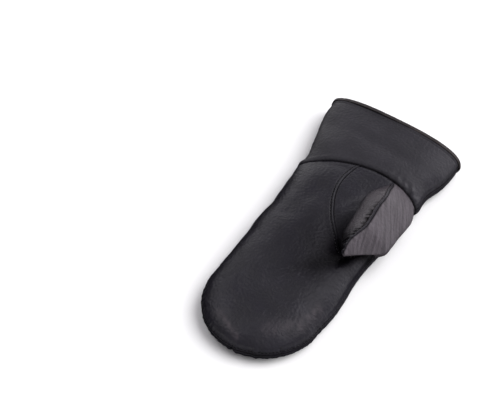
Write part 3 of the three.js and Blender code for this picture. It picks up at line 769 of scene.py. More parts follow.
def thumb_mesh():
    """The thumb with its seam's raised edge, stitch line, puckers and streaks, its painted shade and where
    its left face is paler.
    """
    vertices, triangles = thumb_rings()
    facing = normals(vertices, triangles)
    across, along = vertices[:, COL["across"]], vertices[:, COL["along"]]
    upward = smoothstep(facing[:, 2], -0.1, 0.3)
    lower = smoothstep(-along, -42, -8)
    stitch_line = bell(across + THUMB_STITCHES, 0.65) * upward
    seam = np.maximum(bell(across, 0.8) * upward, 0.85 * stitch_line)
    ridge = bell(across + THUMB_RIDGE, 0.8) * upward
    relief = 0.5 * ridge - 0.8 * bell(across, 0.7) * upward - 0.6 * stitch_line
    left_pleats = bell(across + 4.5, 4.5) * (0.2 + 0.55 * lower)
    pleats = ripple(along, 0.3 * across, 3.0, 21) * (left_pleats + 0.1 * bell(across - 2, 3))
    streaks = 0.16 * ripple(across, 0.12 * along, 4.5, 22) * smoothstep(across, 3, 9)
    relief += pleats + streaks + 0.25 * ripple(across, along, 24, 23)
    from_wrist = vertices[:, 1] - wrist_seam(vertices[:, 0])
    relief += -2.0 * groove(from_wrist, 0.9)
    seam = np.maximum(seam, bell(from_wrist, 1.0))
    vertices[:, :3] += facing * relief[:, None]
    # Columns the leather reads: painted shade along the seams, painted highlight on the raised edge
    vertices[:, COL["seam"]] = seam
    vertices[:, COL["ridge"]] = ridge
    # Painted shade on the left face, by the tip, along the foot and in the puckers by the seam, and where the
    # face is paler
    on_left = smoothstep(-across, 1.0, 4.0)
    foot = smooth(THUMB_SHAPE, "along", "foot", np.clip(along / THUMB_LENGTH, 0, THUMB_END))
    above_foot = vertices[:, 2] - foot
    by_tip = 0.6 * smoothstep(-along, -40, -14)
    by_foot = 0.8 * bell(above_foot, 3.5) * smoothstep(-along, -80, -30)
    wrinkled = 1 + 0.45 * ripple(along, 0.6 * across, 2.6, 24)
    by_seam = 0.72 * bell(across + 4.6, 3.0) * smoothstep(-along, -74, -48) * smoothstep(along, 4, 16)
    vertices[:, COL["shade"]] = on_left * np.maximum.reduce([by_tip, by_foot, by_seam * wrinkled])
    worn = smoothstep(-across, 0.5, 3.0) * smoothstep(above_foot, 0.5, 6.0) * smoothstep(along, 8, 40)
    vertices[:, COL["worn"]] = worn
    return vertices, triangles


def thumb_panels():
    """The thumb above the palm, up to the wrist seam, parted along its own seam."""
    vertices, triangles = thumb_mesh()
    vertices, triangles = cut(vertices, triangles, vertices[:, 1] - wrist_seam(vertices[:, 0]))
    low = palm_height_at(vertices[:, 0], vertices[:, 1]) - 1.2 - vertices[:, 2]
    vertices, triangles = cut(vertices, triangles, np.maximum(low, SEAM_HEIGHT - 0.2 - vertices[:, 2]))
    left = cut(vertices, triangles, vertices[:, COL["across"]])
    right = cut(vertices, triangles, -vertices[:, COL["across"]])
    return left, right


def mouth_ring(y, depth, rises, falls):
    """Points round the mouth at a place along the mitten, depth under the leather's face."""
    places = stations(y, 1000)
    right, left = ({k: v[[i]] for k, v in places.items()} for i in (0, -1))
    return np.vstack(
        [
            upper_points(right, rises, depth)[:, 0],
            upper_points(left, rises[::-1][1:], depth)[:, 0],
            under_points(left, falls[1:], depth)[:, 0],
            under_points(right, falls[::-1][1:], depth)[:, 0],
        ]
    )


def mouth_loop(y, depth, step):
    """Such a ring with its points evenly spaced."""
    right = {k: v[[0]] for k, v in stations(y, 1000).items()}
    rises = even_shares(lambda t: upper_points(right, t, 0)[:, 0], step)
    falls = even_shares(lambda t: under_points(right, 2 * t, 0)[:, 0], step) * 2
    return mouth_ring(y, depth, rises, falls)


def swept_mouth(profile, step):
    """A strip round the mouth through profile points, each a place along the mitten and a depth."""
    count = len(mouth_loop(MOUTH, 0, step))
    rows = []
    for y, depth in profile:
        loop = mouth_loop(y, depth, step)
        if len(loop) != count:
            share = np.linspace(0, 1, len(loop))
            loop = np.stack([np.interp(np.linspace(0, 1, count), share, loop[:, k]) for k in range(3)], -1)
        loop[-1] = loop[0]
        rows.append(loop)
    return np.array(rows)


def binding_mesh():
    """The strip folded over the mouth's edge, from its cut edge outside to the one inside."""
    start, outside, inside = MOUTH - BINDING_WIDTH, -FIT_GAP - BINDING_THICKNESS, LEATHER
    profile = [(start, -0.1), (start + 0.12, -0.8), (start + 0.5, outside + 0.1)]
    profile += [(y, outside) for y in np.linspace(start + 1.0, MOUTH - 1.4, 5)]
    for turn in np.linspace(0, math.pi / 2, 6)[1:]:
        profile.append((MOUTH - 1.2 + 1.2 * math.sin(turn), outside + 1.2 * (1 - math.cos(turn))))
    profile += [(MOUTH, 0.6), (MOUTH - 0.1, 1.3), (MOUTH - 0.6, inside), (MOUTH - 2.4, inside + 0.1)]
    points = swept_mouth(profile, 1.0)
    run = np.concatenate([[0], np.cumsum(np.linalg.norm(np.diff(points[0], axis=0), axis=1))])
    strip = sheet(points, run=run[None, :], along=np.arange(len(profile))[:, None])
    vertices, triangles, _ = weld(*strip)
    facing = normals(vertices, triangles)
    if (facing[:, 2] * (vertices[:, 2] - 18)).mean() < 0:
        triangles, facing = triangles[:, ::-1], -facing
    run, place = vertices[:, COL["run"]], vertices[:, COL["along"]]
    on_face = bell(place - 6, 3)
    relief = 0.16 * ripple(run, 0 * run, 6, 31) * on_face + 0.1 * ripple(run, place, 3.2, 32) * on_face
    vertices[:, :3] += facing * relief[:, None]
    vertices[:, 2] = np.maximum(vertices[:, 2], 0)
    # Painted highlight along the folded edge, and painted shade where the strip's cut edge meets the cuff
    vertices[:, COL["ridge"]] = bell(place - 10, 2.5)
    vertices[:, COL["seam"]] = bell(place - 0.6, 0.9)
    return vertices, triangles


def wool_mesh():
    """The wool as a closed pocket: outside under the leather, inside lumpy, with a lip at the mouth."""
    outside, end = LEATHER + FIT_GAP + PUCKER_DEPTH, MOUTH - BINDING_THICKNESS - 2 * FIT_GAP
    inside = outside + PILE
    lip = [(outside, end - 1.5), (outside + 0.8, end - 0.2), (outside + 2.5, end), (outside + 5.0, end - 0.3)]
    lip += [(outside + 7.0, end - 1.2), (inside, end - 3.5)]
    rises = np.linspace(0, 1, 34) ** 1.25
    falls = np.concatenate([np.linspace(0, 1, 12), np.linspace(1, 2, 22)[1:]])
    sheets = []
    for (depth, stop), flip in ((lip[0], False), (lip[-1], True)):
        places = stations(stop, 2.2)
        upper, under = upper_points(places, rises, depth), under_points(places, falls, depth)
        for points, side in ((upper, 1), (under, -1)):
            sheets.append(sheet(points, (side > 0) != flip, side=side, rim=depth))
    rings = np.array([mouth_ring(y, depth, rises, falls) for depth, y in lip])
    sheets.append(sheet(rings, flip=True, rim=np.array([depth for depth, _ in lip])[:, None]))
    vertices, triangles, _ = weld(*join(*sheets))
    facing = normals(vertices, triangles)
    x, y, z = vertices[:, :3].T
    inner = vertices[:, COL["rim"]] > outside + 1
    lumps = 0.9 * ripple(x + 0.6 * z, y + 0.4 * z, 6.5, 41) + 0.6 * ripple(x - z, y + z, 3.6, 42)
    vertices[:, :3] += facing * (np.where(inner, lumps, 0) * np.minimum(1, np.abs(z - 6) / 3))[:, None]
    return vertices, triangles


def piece(name, mesh, material, node, columns):
    """An object of a mesh in millimetres that stands for a node, with some of its columns as attributes."""
    vertices, triangles = mesh
    data = bpy.data.meshes.new(name)
    data.vertices.add(len(vertices))
    data.vertices.foreach_set("co", ((vertices[:, :3] + SHIFT) * 0.001).astype(np.float32).ravel())
    data.loops.add(3 * len(triangles))
    data.loops.foreach_set("vertex_index", triangles.astype(np.int32).ravel())
    data.polygons.add(len(triangles))
    data.polygons.foreach_set("loop_start", np.arange(0, 3 * len(triangles), 3, dtype=np.int32))
    data.update(calc_edges=True)
    data.polygons.foreach_set("use_smooth", np.ones(len(triangles), bool))
    for column in columns:
        carried = data.attributes.new(column, "FLOAT", "POINT")
        carried.data.foreach_set("value", vertices[:, COL[column]].astype(np.float32))
    data.validate()
    obj = bpy.data.objects.new(name, data)
    bpy.context.collection.objects.link(obj)
    obj.data.materials.append(material)
    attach(obj, "root")
    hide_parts(node)


# Materials and their shader groups
def new_group(name, inputs, outputs):
    """A shader group with named inputs, each with its kind and first value, and named outputs."""
    group = bpy.data.node_groups.new(name, "ShaderNodeTree")
    for label, kind, value in inputs:
        socket = group.interface.new_socket(label, in_out="INPUT", socket_type=kind)
        if value is not None:
            socket.default_value = value
    for label, kind in outputs:
        group.interface.new_socket(label, in_out="OUTPUT", socket_type=kind)
    return group, group.nodes.new("NodeGroupInput"), group.nodes.new("NodeGroupOutput")


def math_node(tree, operation, a, b=None, clamp=False):
    """A sum, product or other reckoning of sockets and numbers."""
    node = tree.nodes.new("ShaderNodeMath")
    node.operation = operation
    node.use_clamp = clamp
    for socket, value in zip(node.inputs, (a, b)):
        if value is None:
            continue
        if isinstance(value, (int, float)):
            socket.default_value = value
        else:
            tree.links.new(value, socket)
    return node.outputs[0]


def noise(tree, vector, scale, detail=3.0, rough=0.5):
    """Cloudy noise, from 0 to 1."""
    node = tree.nodes.new("ShaderNodeTexNoise")
    node.inputs["Detail"].default_value = detail
    node.inputs["Roughness"].default_value = rough
    for name, value in (("Vector", vector), ("Scale", scale)):
        if isinstance(value, (int, float)):
            node.inputs[name].default_value = value
        else:
            tree.links.new(value, node.inputs[name])
    return node.outputs["Fac"]


def ramp(tree, value, low, high, out_low=0.0, out_high=1.0):
    """A value that goes smoothly from out_low to out_high while its source goes from low to high."""
    node = tree.nodes.new("ShaderNodeMapRange")
    node.interpolation_type = "SMOOTHSTEP"
    tree.links.new(value, node.inputs["Value"])
    for name, number in zip(("From Min", "From Max", "To Min", "To Max"), (low, high, out_low, out_high)):
        node.inputs[name].default_value = number
    return node.outputs["Result"]


def mix_colour(tree, share, a, b):
    """Colour a at share 0, b at share 1."""
    node = tree.nodes.new("ShaderNodeMix")
    node.data_type = "RGBA"
    for socket, value in ((node.inputs[0], share), (node.inputs[6], a), (node.inputs[7], b)):
        if isinstance(value, (int, float)):
            socket.default_value = value
        elif isinstance(value, tuple):
            socket.default_value = (*value, 1)
        else:
            tree.links.new(value, socket)
    return node.outputs[2]


def attribute(tree, name):
    """A number that the mesh carries."""
    node = tree.nodes.new("ShaderNodeAttribute")
    node.attribute_name = name
    return node.outputs["Fac"]


def grain_group():
    """Leather grain: pebbles and pores as a height, and patches where the finish is glossier."""
    group, given, out = new_group(
        "leather_grain",
        [("Pebble Size", "NodeSocketFloat", 0.0009), ("Patch Size", "NodeSocketFloat", 0.02)],
        [("Height", "NodeSocketFloat"), ("Patches", "NodeSocketFloat")],
    )
    coordinate = group.nodes.new("ShaderNodeTexCoord").outputs["Object"]
    pebbles = group.nodes.new("ShaderNodeTexVoronoi")
    pebbles.feature = "SMOOTH_F1"
    group.links.new(coordinate, pebbles.inputs["Vector"])
    group.links.new(math_node(group, "DIVIDE", 1.0, given.outputs["Pebble Size"]), pebbles.inputs["Scale"])
    pore_scale = math_node(group, "DIVIDE", 0.6, given.outputs["Pebble Size"])
    pores = math_node(group, "MULTIPLY", noise(group, coordinate, pore_scale, 2.0), 0.5)
    height = math_node(group, "ADD", pebbles.outputs["Distance"], pores)
    patch_scale = math_node(group, "DIVIDE", 1.0, given.outputs["Patch Size"])
    patches = noise(group, coordinate, patch_scale, 4.0, 0.55)
    group.links.new(height, out.inputs["Height"])
    group.links.new(patches, out.inputs["Patches"])
    return group


GRAIN = grain_group()


def place_group(tree, group, **values):
    """A group's node in a tree, with its inputs set by name."""
    node = tree.nodes.new("ShaderNodeGroup")
    node.node_tree = group
    for name, value in values.items():
        node.inputs[name.replace("_", " ").title()].default_value = value
    return node


def bumped(tree, height, strength, distance, under=None):
    """Surface directions bent by a height, over ones that are bent already."""
    node = tree.nodes.new("ShaderNodeBump")
    node.inputs["Strength"].default_value = strength
    node.inputs["Distance"].default_value = distance
    tree.links.new(height, node.inputs["Height"])
    if under:
        tree.links.new(under, node.inputs["Normal"])
    return node.outputs["Normal"]


def new_material(name):
    """A material with one shader, its tree and that shader."""
    material = bpy.data.materials.new(name)
    material.use_nodes = True
    tree = material.node_tree
    tree.nodes.clear()
    shader, out = tree.nodes.new("ShaderNodeBsdfPrincipled"), tree.nodes.new("ShaderNodeOutputMaterial")
    tree.links.new(shader.outputs["BSDF"], out.inputs["Surface"])
    return material, tree, shader


# Colours of a paler tint, which paints highlight bands and the thumb's paler left face, and of painted shade
PALE_AND_HIGHLIGHT_TINT = (0.039, 0.0325, 0.0385)
PAINTED_SHADE_TINT = (0.0036, 0.0032, 0.0042)


def leather_material(name, dark, light, dullness, pebble=0.0009, grain=0.25, shine=0.37, streaks=False):
    """Dyed nappa: tint that wanders a little; painted shade, near black and metallic so the sheen goes too,
    in seams and creases; painted highlight, a lighter tint, on raised ridges and in bands by the fingertips.
    """
    material, tree, shader = new_material(name)
    surface = place_group(tree, GRAIN, pebble_size=pebble, patch_size=0.022)
    patches = surface.outputs["Patches"]
    coordinate = tree.nodes.new("ShaderNodeTexCoord").outputs["Object"]
    # Painted shade: seams and the creases that the shade column marks turn near black and metallic, which
    # dims their sheen as well
    creased = math_node(tree, "MULTIPLY", attribute(tree, "seam"), 0.93, clamp=True)
    painted_seam_shade = math_node(tree, "MULTIPLY", creased, 0.85)
    painted_shade_mask = math_node(tree, "MAXIMUM", painted_seam_shade, attribute(tree, "shade"), clamp=True)
    under = None
    if streaks:
        across, along = attribute(tree, "across"), attribute(tree, "along")
        slanted = tree.nodes.new("ShaderNodeCombineXYZ")
        slant = math_node(tree, "ADD", across, math_node(tree, "MULTIPLY", along, 0.5))
        tree.links.new(slant, slanted.inputs["X"])
        tree.links.new(math_node(tree, "MULTIPLY", along, 0.09), slanted.inputs["Y"])
        lines = noise(tree, slanted.outputs["Vector"], 0.45, 3.0, 0.55)
        tint = mix_colour(tree, ramp(tree, lines, 0.28, 0.74), dark, tuple(1.4 * c for c in light))
        under = bumped(tree, lines, 0.3, 0.0006)
    else:
        tint = mix_colour(tree, ramp(tree, patches, 0.3, 0.7), dark, light)
        # Paler tint: painted highlight bands near the fingertips, and the thumb's paler left face
        tint = mix_colour(tree, attribute(tree, "worn"), tint, PALE_AND_HIGHLIGHT_TINT)
        # Painted highlight on raised ridges
        painted_highlight = math_node(tree, "MULTIPLY", attribute(tree, "ridge"), 0.25, clamp=True)
        tint = mix_colour(tree, painted_highlight, tint, tuple(1.7 * c for c in light))
    tree.links.new(mix_colour(tree, painted_shade_mask, tint, PAINTED_SHADE_TINT), shader.inputs["Base Color"])
    tree.links.new(painted_shade_mask, shader.inputs["Metallic"])
    rough = ramp(tree, patches, 0.25, 0.75, dullness + 0.05, dullness - 0.05)
    rough = math_node(tree, "ADD", rough, math_node(tree, "MULTIPLY", creased, 0.35), clamp=True)
    tree.links.new(rough, shader.inputs["Roughness"])
    shader.inputs["Specular IOR Level"].default_value = shine
    soft = bumped(tree, noise(tree, coordinate, 400.0, 1.5, 0.45), 0.5, 0.0011, under)
    fine = bumped(tree, surface.outputs["Height"], grain, 0.00012, soft)
    tree.links.new(fine, shader.inputs["Normal"])
    return material


def wool_material():
    """Nearly black wool in clumps, with a faint sheen."""
    material, tree, shader = new_material("black_wool")
    coordinate = tree.nodes.new("ShaderNodeTexCoord").outputs["Object"]
    clumps = ramp(tree, noise(tree, coordinate, 260.0, 4.0, 0.6), 0.3, 0.7)
    tint = mix_colour(tree, clumps, (0.003, 0.003, 0.0034), (0.014, 0.0135, 0.015))
    tree.links.new(tint, shader.inputs["Base Color"])
    shader.inputs["Roughness"].default_value = 0.85
    shader.inputs["Sheen Weight"].default_value = 0.12
    fibres = noise(tree, coordinate, 1400.0, 2.0, 0.7)
    tree.links.new(bumped(tree, fibres, 0.8, 0.0006), shader.inputs["Normal"])
    return material


def thread_material():
    """Black sewing thread, its twist a wandering tint."""
    material, tree, shader = new_material("black_thread")
    coordinate = tree.nodes.new("ShaderNodeTexCoord").outputs["Object"]
    twist = noise(tree, coordinate, 2600.0, 2.0)
    tint = mix_colour(tree, twist, (0.008, 0.008, 0.009), (0.035, 0.033, 0.036))
    tree.links.new(tint, shader.inputs["Base Color"])
    shader.inputs["Roughness"].default_value = 0.5
    return material


def floor_material():
    """White, dull and very slightly mottled."""
    material, tree, shader = new_material("white_floor")
    coordinate = tree.nodes.new("ShaderNodeTexCoord").outputs["Object"]
    mottle = noise(tree, coordinate, 3.0, 3.0)
    tint = mix_colour(tree, mottle, (0.8, 0.8, 0.805), (0.84, 0.84, 0.84))
    tree.links.new(tint, shader.inputs["Base Color"])
    shader.inputs["Roughness"].default_value = 0.9
    shader.inputs["Specular IOR Level"].default_value = 0.0
    return material


# Each leather: its darker and lighter tint, its dullness, and where it differs in pebble, grain and shine
HAND_LEATHER = leather_material(
    "hand_nappa", (0.006, 0.0054, 0.0085), (0.0095, 0.0086, 0.0132), 0.35, shine=0.335
)
THUMB_LEATHER = leather_material(
    "thumb_nappa", (0.03, 0.0255, 0.03), (0.05, 0.043, 0.05), 0.5, streaks=True
)
CUFF_LEATHER = leather_material("cuff_nappa", (0.0095, 0.0086, 0.0122), (0.0145, 0.0132, 0.018), 0.46)
BINDING_LEATHER = leather_material(
    "binding_nappa", (0.011, 0.0085, 0.0088), (0.022, 0.0165, 0.0165), 0.5, pebble=0.0007, grain=0.4
)
WOOL = wool_material()
THREAD = thread_material()

palm, gusset, flank, back_thumb, back_little, cuff_palm, cuff_back = skin_panels()
thumb_left, thumb_right = thumb_panels()


def on_leather(meshes, columns, places, lift=0.0):
    """Points and normals on finished leather, at places given in two of its columns."""
    spots = np.vstack([np.hstack([v, normals(v, t)]) for v, t in meshes])
    tree = KDTree(len(spots))
    for i, (a, b) in enumerate(spots[:, [COL[c] for c in columns]]):
        tree.insert((a, b, 0), i)
    tree.balance()
    points, facing = [], []
    for a, b in places:
        near = tree.find_n((a, b, 0), 5)
        weight = np.array([1 / (0.15 + distance) ** 2 for _, _, distance in near])
        rows = spots[[i for _, i, _ in near]]
        points.append((rows[:, :3] * weight[:, None]).sum(0) / weight.sum())
        facing.append((rows[:, -3:] * weight[:, None]).sum(0))
    facing = np.array(facing)
    facing /= np.maximum(np.linalg.norm(facing, axis=1), 1e-9)[:, None]
    return np.array(points) + lift * facing, facing


def without_hidden(mesh):
    """A mesh of the hand without what lies inside the thumb."""
    return cut(mesh[0], mesh[1], -inside_thumb(mesh[0]))


# The columns that the materials read
CARRIED = ("seam", "ridge", "shade", "worn")
THUMB_CARRIED = (*CARRIED, "across", "along")
inner_face, outer_face = join(without_hidden(gusset), thumb_left), join(without_hidden(flank), thumb_right)
piece("palm", without_hidden(palm), HAND_LEATHER, "palm_panel", CARRIED)
piece("thumb_inner", inner_face, HAND_LEATHER, "thumb_inner_panel", THUMB_CARRIED)
piece("thumb_outer", outer_face, THUMB_LEATHER, "thumb_outer_panel", THUMB_CARRIED)
piece("back_thumb_side", back_thumb, HAND_LEATHER, "back_panel_thumb_side", CARRIED)
piece("back_little_side", back_little, HAND_LEATHER, "back_panel_little_side", CARRIED)
piece("cuff_palm_side", cuff_palm, CUFF_LEATHER, "cuff_palm_half", CARRIED)
piece("cuff_back_side", cuff_back, CUFF_LEATHER, "cuff_back_half", CARRIED)
piece("binding", binding_mesh(), BINDING_LEATHER, "mouth_binding", CARRIED)
piece("wool_pocket", wool_mesh(), WOOL, "wool_lining", ())


# Stitches and tufts, grown by Geometry Nodes
def node_group(name, inputs):
    """A Geometry Nodes group with a geometry in and out and named numbers."""
    group = bpy.data.node_groups.new(name, "GeometryNodeTree")
    group.interface.new_socket("Geometry", in_out="INPUT", socket_type="NodeSocketGeometry")
    for label, value in inputs:
        kind = "NodeSocketInt" if isinstance(value, int) else "NodeSocketFloat"
        group.interface.new_socket(label, in_out="INPUT", socket_type=kind).default_value = value
    group.interface.new_socket("Geometry", in_out="OUTPUT", socket_type="NodeSocketGeometry")
    return group, group.nodes.new("NodeGroupInput"), group.nodes.new("NodeGroupOutput")


def named(group, name):
    """A direction that the mesh carries."""
    node = group.nodes.new("GeometryNodeInputNamedAttribute")
    node.data_type = "FLOAT_VECTOR"
    node.inputs["Name"].default_value = name
    return node.outputs["Attribute"]


def random_value(group, low, high, seed, vector=False):
    """A random number or direction for each point."""
    node = group.nodes.new("FunctionNodeRandomValue")
    node.data_type = "FLOAT_VECTOR" if vector else "FLOAT"
    sockets = [i for i in node.inputs if i.enabled and i.name in ("Min", "Max")]
    sockets[0].default_value, sockets[1].default_value = low, high
    group.links.new(seed, node.inputs["Seed"])
    return [o for o in node.outputs if o.enabled][0]


def aligned(group, axis, vector, rotation=None, pivot="AUTO"):
    """A rotation that turns an axis along a direction."""
    node = group.nodes.new("FunctionNodeAlignRotationToVector")
    node.axis, node.pivot_axis = axis, pivot
    group.links.new(vector, node.inputs["Vector"])
    if rotation:
        group.links.new(rotation, node.inputs["Rotation"])
    return node.outputs["Rotation"]


def set_out(group, out, points, shape, turned, sizes, material):
    """Ends a group: its shape on every point, turned and sized, as one real mesh of a material."""
    link = group.links.new
    size, place = group.nodes.new("ShaderNodeCombineXYZ"), group.nodes.new("GeometryNodeInstanceOnPoints")
    for axis, value in zip("XYZ", sizes):
        link(value, size.inputs[axis])
    link(points, place.inputs["Points"])
    link(shape, place.inputs["Instance"])
    link(turned, place.inputs["Rotation"])
    link(size.outputs["Vector"], place.inputs["Scale"])
    realize = group.nodes.new("GeometryNodeRealizeInstances")
    paint = group.nodes.new("GeometryNodeSetMaterial")
    paint.inputs["Material"].default_value = material
    link(place.outputs["Instances"], realize.inputs["Geometry"])
    link(realize.outputs["Geometry"], paint.inputs["Geometry"])
    link(paint.outputs["Geometry"], out.inputs["Geometry"])


def stitch_group():
    """Stitches along a line: small threads, evenly spaced, lying along it and turned to its surface."""
    group, given, out = node_group(
        "stitch_row", [("Pitch", 0.0032), ("Length", 0.0024), ("Thickness", 0.0005), ("Seed", 1)]
    )
    link = group.links.new
    curve, spaced = group.nodes.new("GeometryNodeMeshToCurve"), group.nodes.new("GeometryNodeResampleCurve")
    if hasattr(spaced, "mode"):
        spaced.mode = "LENGTH"
    else:
        spaced.inputs["Mode"].default_value = "Length"
    link(given.outputs["Geometry"], curve.inputs["Mesh"])
    link(curve.outputs["Curve"], spaced.inputs["Curve"])
    link(given.outputs["Pitch"], spaced.inputs["Length"])
    tangent = group.nodes.new("GeometryNodeInputTangent").outputs["Tangent"]
    turned = aligned(group, "X", tangent)
    turned = aligned(group, "Z", named(group, "facing"), turned, "X")
    thread = group.nodes.new("GeometryNodeMeshUVSphere")
    thread.inputs["Segments"].default_value = 6
    thread.inputs["Rings"].default_value = 5
    thread.inputs["Radius"].default_value = 0.5
    vary = random_value(group, 0.88, 1.08, given.outputs["Seed"])
    length = math_node(group, "MULTIPLY", given.outputs["Length"], vary)
    sizes = (length, given.outputs["Thickness"], given.outputs["Thickness"])
    set_out(group, out, spaced.outputs["Curve"], thread.outputs["Mesh"], turned, sizes, THREAD)
    return group


def tuft_group():
    """Tufts scattered on a surface: small soft cones that lean at random."""
    group, given, out = node_group(
        "wool_tufts", [("Density", 300000.0), ("Size", 0.0011), ("Length", 0.0032), ("Seed", 3)]
    )
    link = group.links.new
    scatter = group.nodes.new("GeometryNodeDistributePointsOnFaces")
    link(given.outputs["Geometry"], scatter.inputs["Mesh"])
    link(given.outputs["Density"], scatter.inputs["Density"])
    link(given.outputs["Seed"], scatter.inputs["Seed"])
    lean = random_value(group, 3 * (-0.75,), 3 * (0.75,), given.outputs["Seed"], vector=True)
    way_out = group.nodes.new("ShaderNodeVectorMath")
    way_out.operation = "ADD"
    link(scatter.outputs["Normal"], way_out.inputs[0])
    link(lean, way_out.inputs[1])
    tuft = group.nodes.new("GeometryNodeMeshCone")
    tuft.inputs["Vertices"].default_value = 5
    tuft.inputs["Side Segments"].default_value = 2
    tuft.inputs["Radius Top"].default_value = 0.15
    tuft.inputs["Radius Bottom"].default_value = 1.0
    tuft.inputs["Depth"].default_value = 1.0
    vary = random_value(group, 0.6, 1.2, given.outputs["Seed"])
    length = math_node(group, "MULTIPLY", given.outputs["Length"], vary)
    sizes = (given.outputs["Size"], given.outputs["Size"], length)
    turned = aligned(group, "Z", way_out.outputs["Vector"])
    set_out(group, out, scatter.outputs["Points"], tuft.outputs["Mesh"], turned, sizes, WOOL)
    return group


def grown(name, mesh, group, **values):
    """A plain mesh of what a node group makes on a mesh, riding on the part."""
    source = bpy.data.objects.new(name + "_source", mesh)
    bpy.context.collection.objects.link(source)
    modifier = source.modifiers.new("nodes", "NODES")
    modifier.node_group = group
    for item in group.interface.items_tree:
        label = item.name.lower()
        if item.in_out == "INPUT" and label in values:
            modifier[item.identifier] = values[label]
    made = bpy.data.meshes.new_from_object(source.evaluated_get(bpy.context.evaluated_depsgraph_get()))
    bpy.data.objects.remove(source)
    obj = bpy.data.objects.new(name, made)
    bpy.context.collection.objects.link(obj)
    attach(obj, "root")


def path_mesh(name, points, facing):
    """A line of points that carry the direction their surface faces."""
    mesh = bpy.data.meshes.new(name + "_path")
    mesh.from_pydata((points + SHIFT) * 0.001, [(i, i + 1) for i in range(len(points) - 1)], [])
    data = mesh.attributes.new("facing", "FLOAT_VECTOR", "POINT")
    data.data.foreach_set("vector", facing.astype(np.float32).ravel())
    return mesh


STITCHES = stitch_group()


def stitch(name, meshes, columns, places, lift=-0.05, **values):
    """Sews a line of stitches through places on finished leather."""
    points, facing = on_leather(meshes, columns, places, lift)
    grown(name, path_mesh(name, points, facing), STITCHES, **values)


def beside(line, gap):
    """A line in plan moved sideways."""
    along = np.gradient(line, axis=0)
    along /= np.linalg.norm(along, axis=1)[:, None]
    return line + gap * np.stack([-along[:, 1], along[:, 0]], -1)


sewn = (GUSSET_LINE[:, 1] > 132) & (GUSSET_LINE[:, 1] < wrist_seam(GUSSET_LINE[:, 0]) - 1.5)
gusset_places = beside(GUSSET_LINE[sewn], GUSSET_STITCHES)
stitch("gusset_stitches", [palm, gusset], ("plan_x", "plan_y"), gusset_places, seed=1)
seam_places = np.stack(
    [np.full(120, -THUMB_STITCHES), np.linspace(2, THUMB_END * THUMB_LENGTH - 12, 120)], -1
)
stitch("thumb_stitches", [thumb_left], ("across", "along"), seam_places, seed=2)
hand_run = palm[0][:, COL["run"]]
rim_places = np.stack(
    [np.linspace(hand_run.min() + 2, hand_run.max() - 2, 420), np.full(420, RIM_STITCHES)], -1
)
stitch("rim_stitches", [palm, flank], ("run", "rim"), rim_places, seed=3)
little_end, thumb_end = 4 - float(body("little", MOUTH_STITCHES)), float(body("thumb", MOUTH_STITCHES)) - 4
row_places = np.stack([np.linspace(little_end, thumb_end, 160), np.full(160, MOUTH_STITCHES)], -1)
stitch("mouth_stitches_palm", [cuff_palm], ("plan_x", "plan_y"), row_places, seed=4)
stitch("mouth_stitches_back", [cuff_back], ("plan_x", "plan_y"), row_places, seed=5)

wool_skin, wool_faces = wool_mesh()
inner_side = wool_skin[:, COL["rim"]] > LEATHER + FIT_GAP + PUCKER_DEPTH + 2.0
by_mouth = inner_side & (wool_skin[:, 1] > MOUTH - 34) & (wool_skin[:, 1] < MOUTH - 2.5)
kept = wool_faces[by_mouth[wool_faces].all(1)]
tuft_ground = bpy.data.meshes.new("tuft_ground")
tuft_ground.from_pydata((wool_skin[:, :3] + SHIFT) * 0.001, [], kept.tolist())
grown("wool_tufts", tuft_ground, tuft_group(), seed=3)

# Floor
floor_mesh = bpy.data.meshes.new("floor")
floor_mesh.from_pydata([(-6, -6, 0), (6, -6, 0), (6, 6, 0), (-6, 6, 0)], [], [(0, 1, 2, 3)])
floor = bpy.data.objects.new("floor", floor_mesh)
floor_mesh.materials.append(floor_material())
bpy.context.collection.objects.link(floor)


def mirrored_shade_block(name, low, high):
    """A black block that only what mirrors it sees. It keeps the white floor out of the leather's sheen:
    shade that shows only in reflections.
    """
    mesh = bpy.data.meshes.new(name)
    corners = [(x, y, z) for z in (low[2], high[2]) for y in (low[1], high[1]) for x in (low[0], high[0])]
    faces = [(0, 2, 3, 1), (4, 5, 7, 6), (0, 1, 5, 4), (2, 6, 7, 3), (0, 4, 6, 2), (1, 3, 7, 5)]
    mesh.from_pydata(corners, [], faces)
    mesh.materials.append(WOOL)
    block = bpy.data.objects.new(name, mesh)
    block.visible_camera = block.visible_diffuse = block.visible_shadow = False
    bpy.context.collection.objects.link(block)


# Painted shade seen only in reflections: a card on the floor round the mitten, and a block on its left
mirrored_shade_block("mirrored_shade_card", (-0.16, -0.2, 0.0002), (0.11, 0.2, 0.0006))
mirrored_shade_block("mirrored_shade_block", (-0.215, -0.19, 0.001), (-0.105, 0.08, 0.045))

# Camera: where it looks on the surface, from what side and height, and how far away
PHOTO_PLAN = np.array([-76.95, 148.9])
AZIMUTH, ELEVATION, DISTANCE = math.radians(33.0), math.radians(52.0), 2.407
target = Vector(((PHOTO_PLAN[0] + SHIFT[0]) * 0.001, (PHOTO_PLAN[1] + SHIFT[1]) * 0.001, 0.0))
back_way = Vector(
    (
        math.sin(AZIMUTH) * math.cos(ELEVATION),
        -math.cos(AZIMUTH) * math.cos(ELEVATION),
        math.sin(ELEVATION),
    )
)
camera_data = bpy.data.cameras.new("camera")
camera_data.sensor_width = 36.0
camera_data.lens = 18.0 / math.tan(math.radians(11.0) / 2)
camera_data.clip_end = 20.0
camera = bpy.data.objects.new("camera", camera_data)
camera.location = target + back_way * DISTANCE
camera.rotation_euler = back_way.to_track_quat("Z", "Y").to_euler()
bpy.context.collection.objects.link(camera)
bpy.context.scene.camera = camera


# The studio: an even glow all round, with soft patches that are brighter or darker
world = bpy.data.worlds.new("studio")
world.use_nodes = True
tree = world.node_tree
background = tree.nodes["Background"]
direction = tree.nodes.new("ShaderNodeTexCoord").outputs["Generated"]


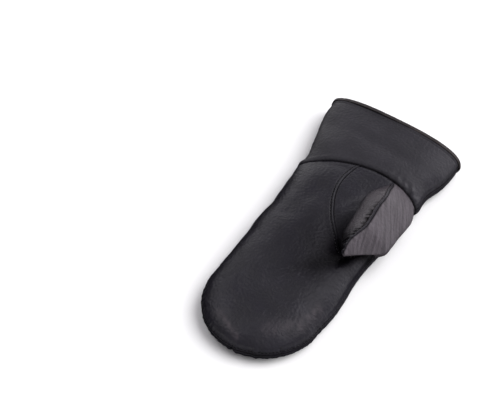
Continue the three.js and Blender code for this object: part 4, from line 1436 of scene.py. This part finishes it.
def way(azimuth, elevation):
    """The direction of a place in the studio, its sides and heights counted as the camera's are."""
    a, e = math.radians(azimuth), math.radians(elevation)
    return (math.sin(a) * math.cos(e), -math.cos(a) * math.cos(e), math.sin(e))


def glow(azimuth, elevation, inner, outer, strength):
    """A soft round patch of light: full inside the inner angle, gone at the outer one."""
    dot = tree.nodes.new("ShaderNodeVectorMath")
    dot.operation = "DOT_PRODUCT"
    tree.links.new(direction, dot.inputs[0])
    dot.inputs[1].default_value = way(azimuth, elevation)
    low, high = math.cos(math.radians(outer)), math.cos(math.radians(inner))
    return ramp(tree, dot.outputs["Value"], low, high, 0.0, strength)


# Each patch by where it is, the angles to where it starts and ends to fade, and how much light it adds
EVEN_GLOW = 0.415
GLOWS = [
    dict(azimuth=150, elevation=18, inner=10, outer=42, strength=1.6),
    dict(azimuth=136, elevation=68, inner=8, outer=26, strength=1.2),
    dict(azimuth=190, elevation=12, inner=8, outer=40, strength=0.35),
    dict(azimuth=241, elevation=18, inner=10, outer=32, strength=0.95),
    dict(azimuth=278, elevation=56, inner=5, outer=24, strength=1.45),
    dict(azimuth=59, elevation=56, inner=5, outer=24, strength=0.5),
    dict(azimuth=262, elevation=28, inner=4, outer=17, strength=-0.42),
    dict(azimuth=222, elevation=54, inner=6, outer=26, strength=-0.14),
    dict(azimuth=148, elevation=70, inner=3, outer=13, strength=0.8),
    dict(azimuth=278, elevation=8, inner=10, outer=34, strength=-0.5),
]
# A broad lamp high on the right, which lights the floor and the thumb and casts the soft shadow on the left
lamp_data = bpy.data.lights.new("lamp", "SUN")
lamp_data.energy = 2.65
lamp_data.angle = math.radians(50)
lamp = bpy.data.objects.new("lamp", lamp_data)
lamp.rotation_euler = Vector(way(112, 52)).to_track_quat("Z", "Y").to_euler()
lamp.visible_glossy = False
bpy.context.collection.objects.link(lamp)

total = EVEN_GLOW
for patch in GLOWS:
    total = math_node(tree, "ADD", glow(**patch), total)
tree.links.new(total, background.inputs["Strength"])
background.inputs["Color"].default_value = (1.0, 0.98, 1.015, 1)
bpy.context.scene.world = world
bpy.context.scene.view_settings.view_transform = "Standard"
bpy.context.scene.view_settings.look = "None"
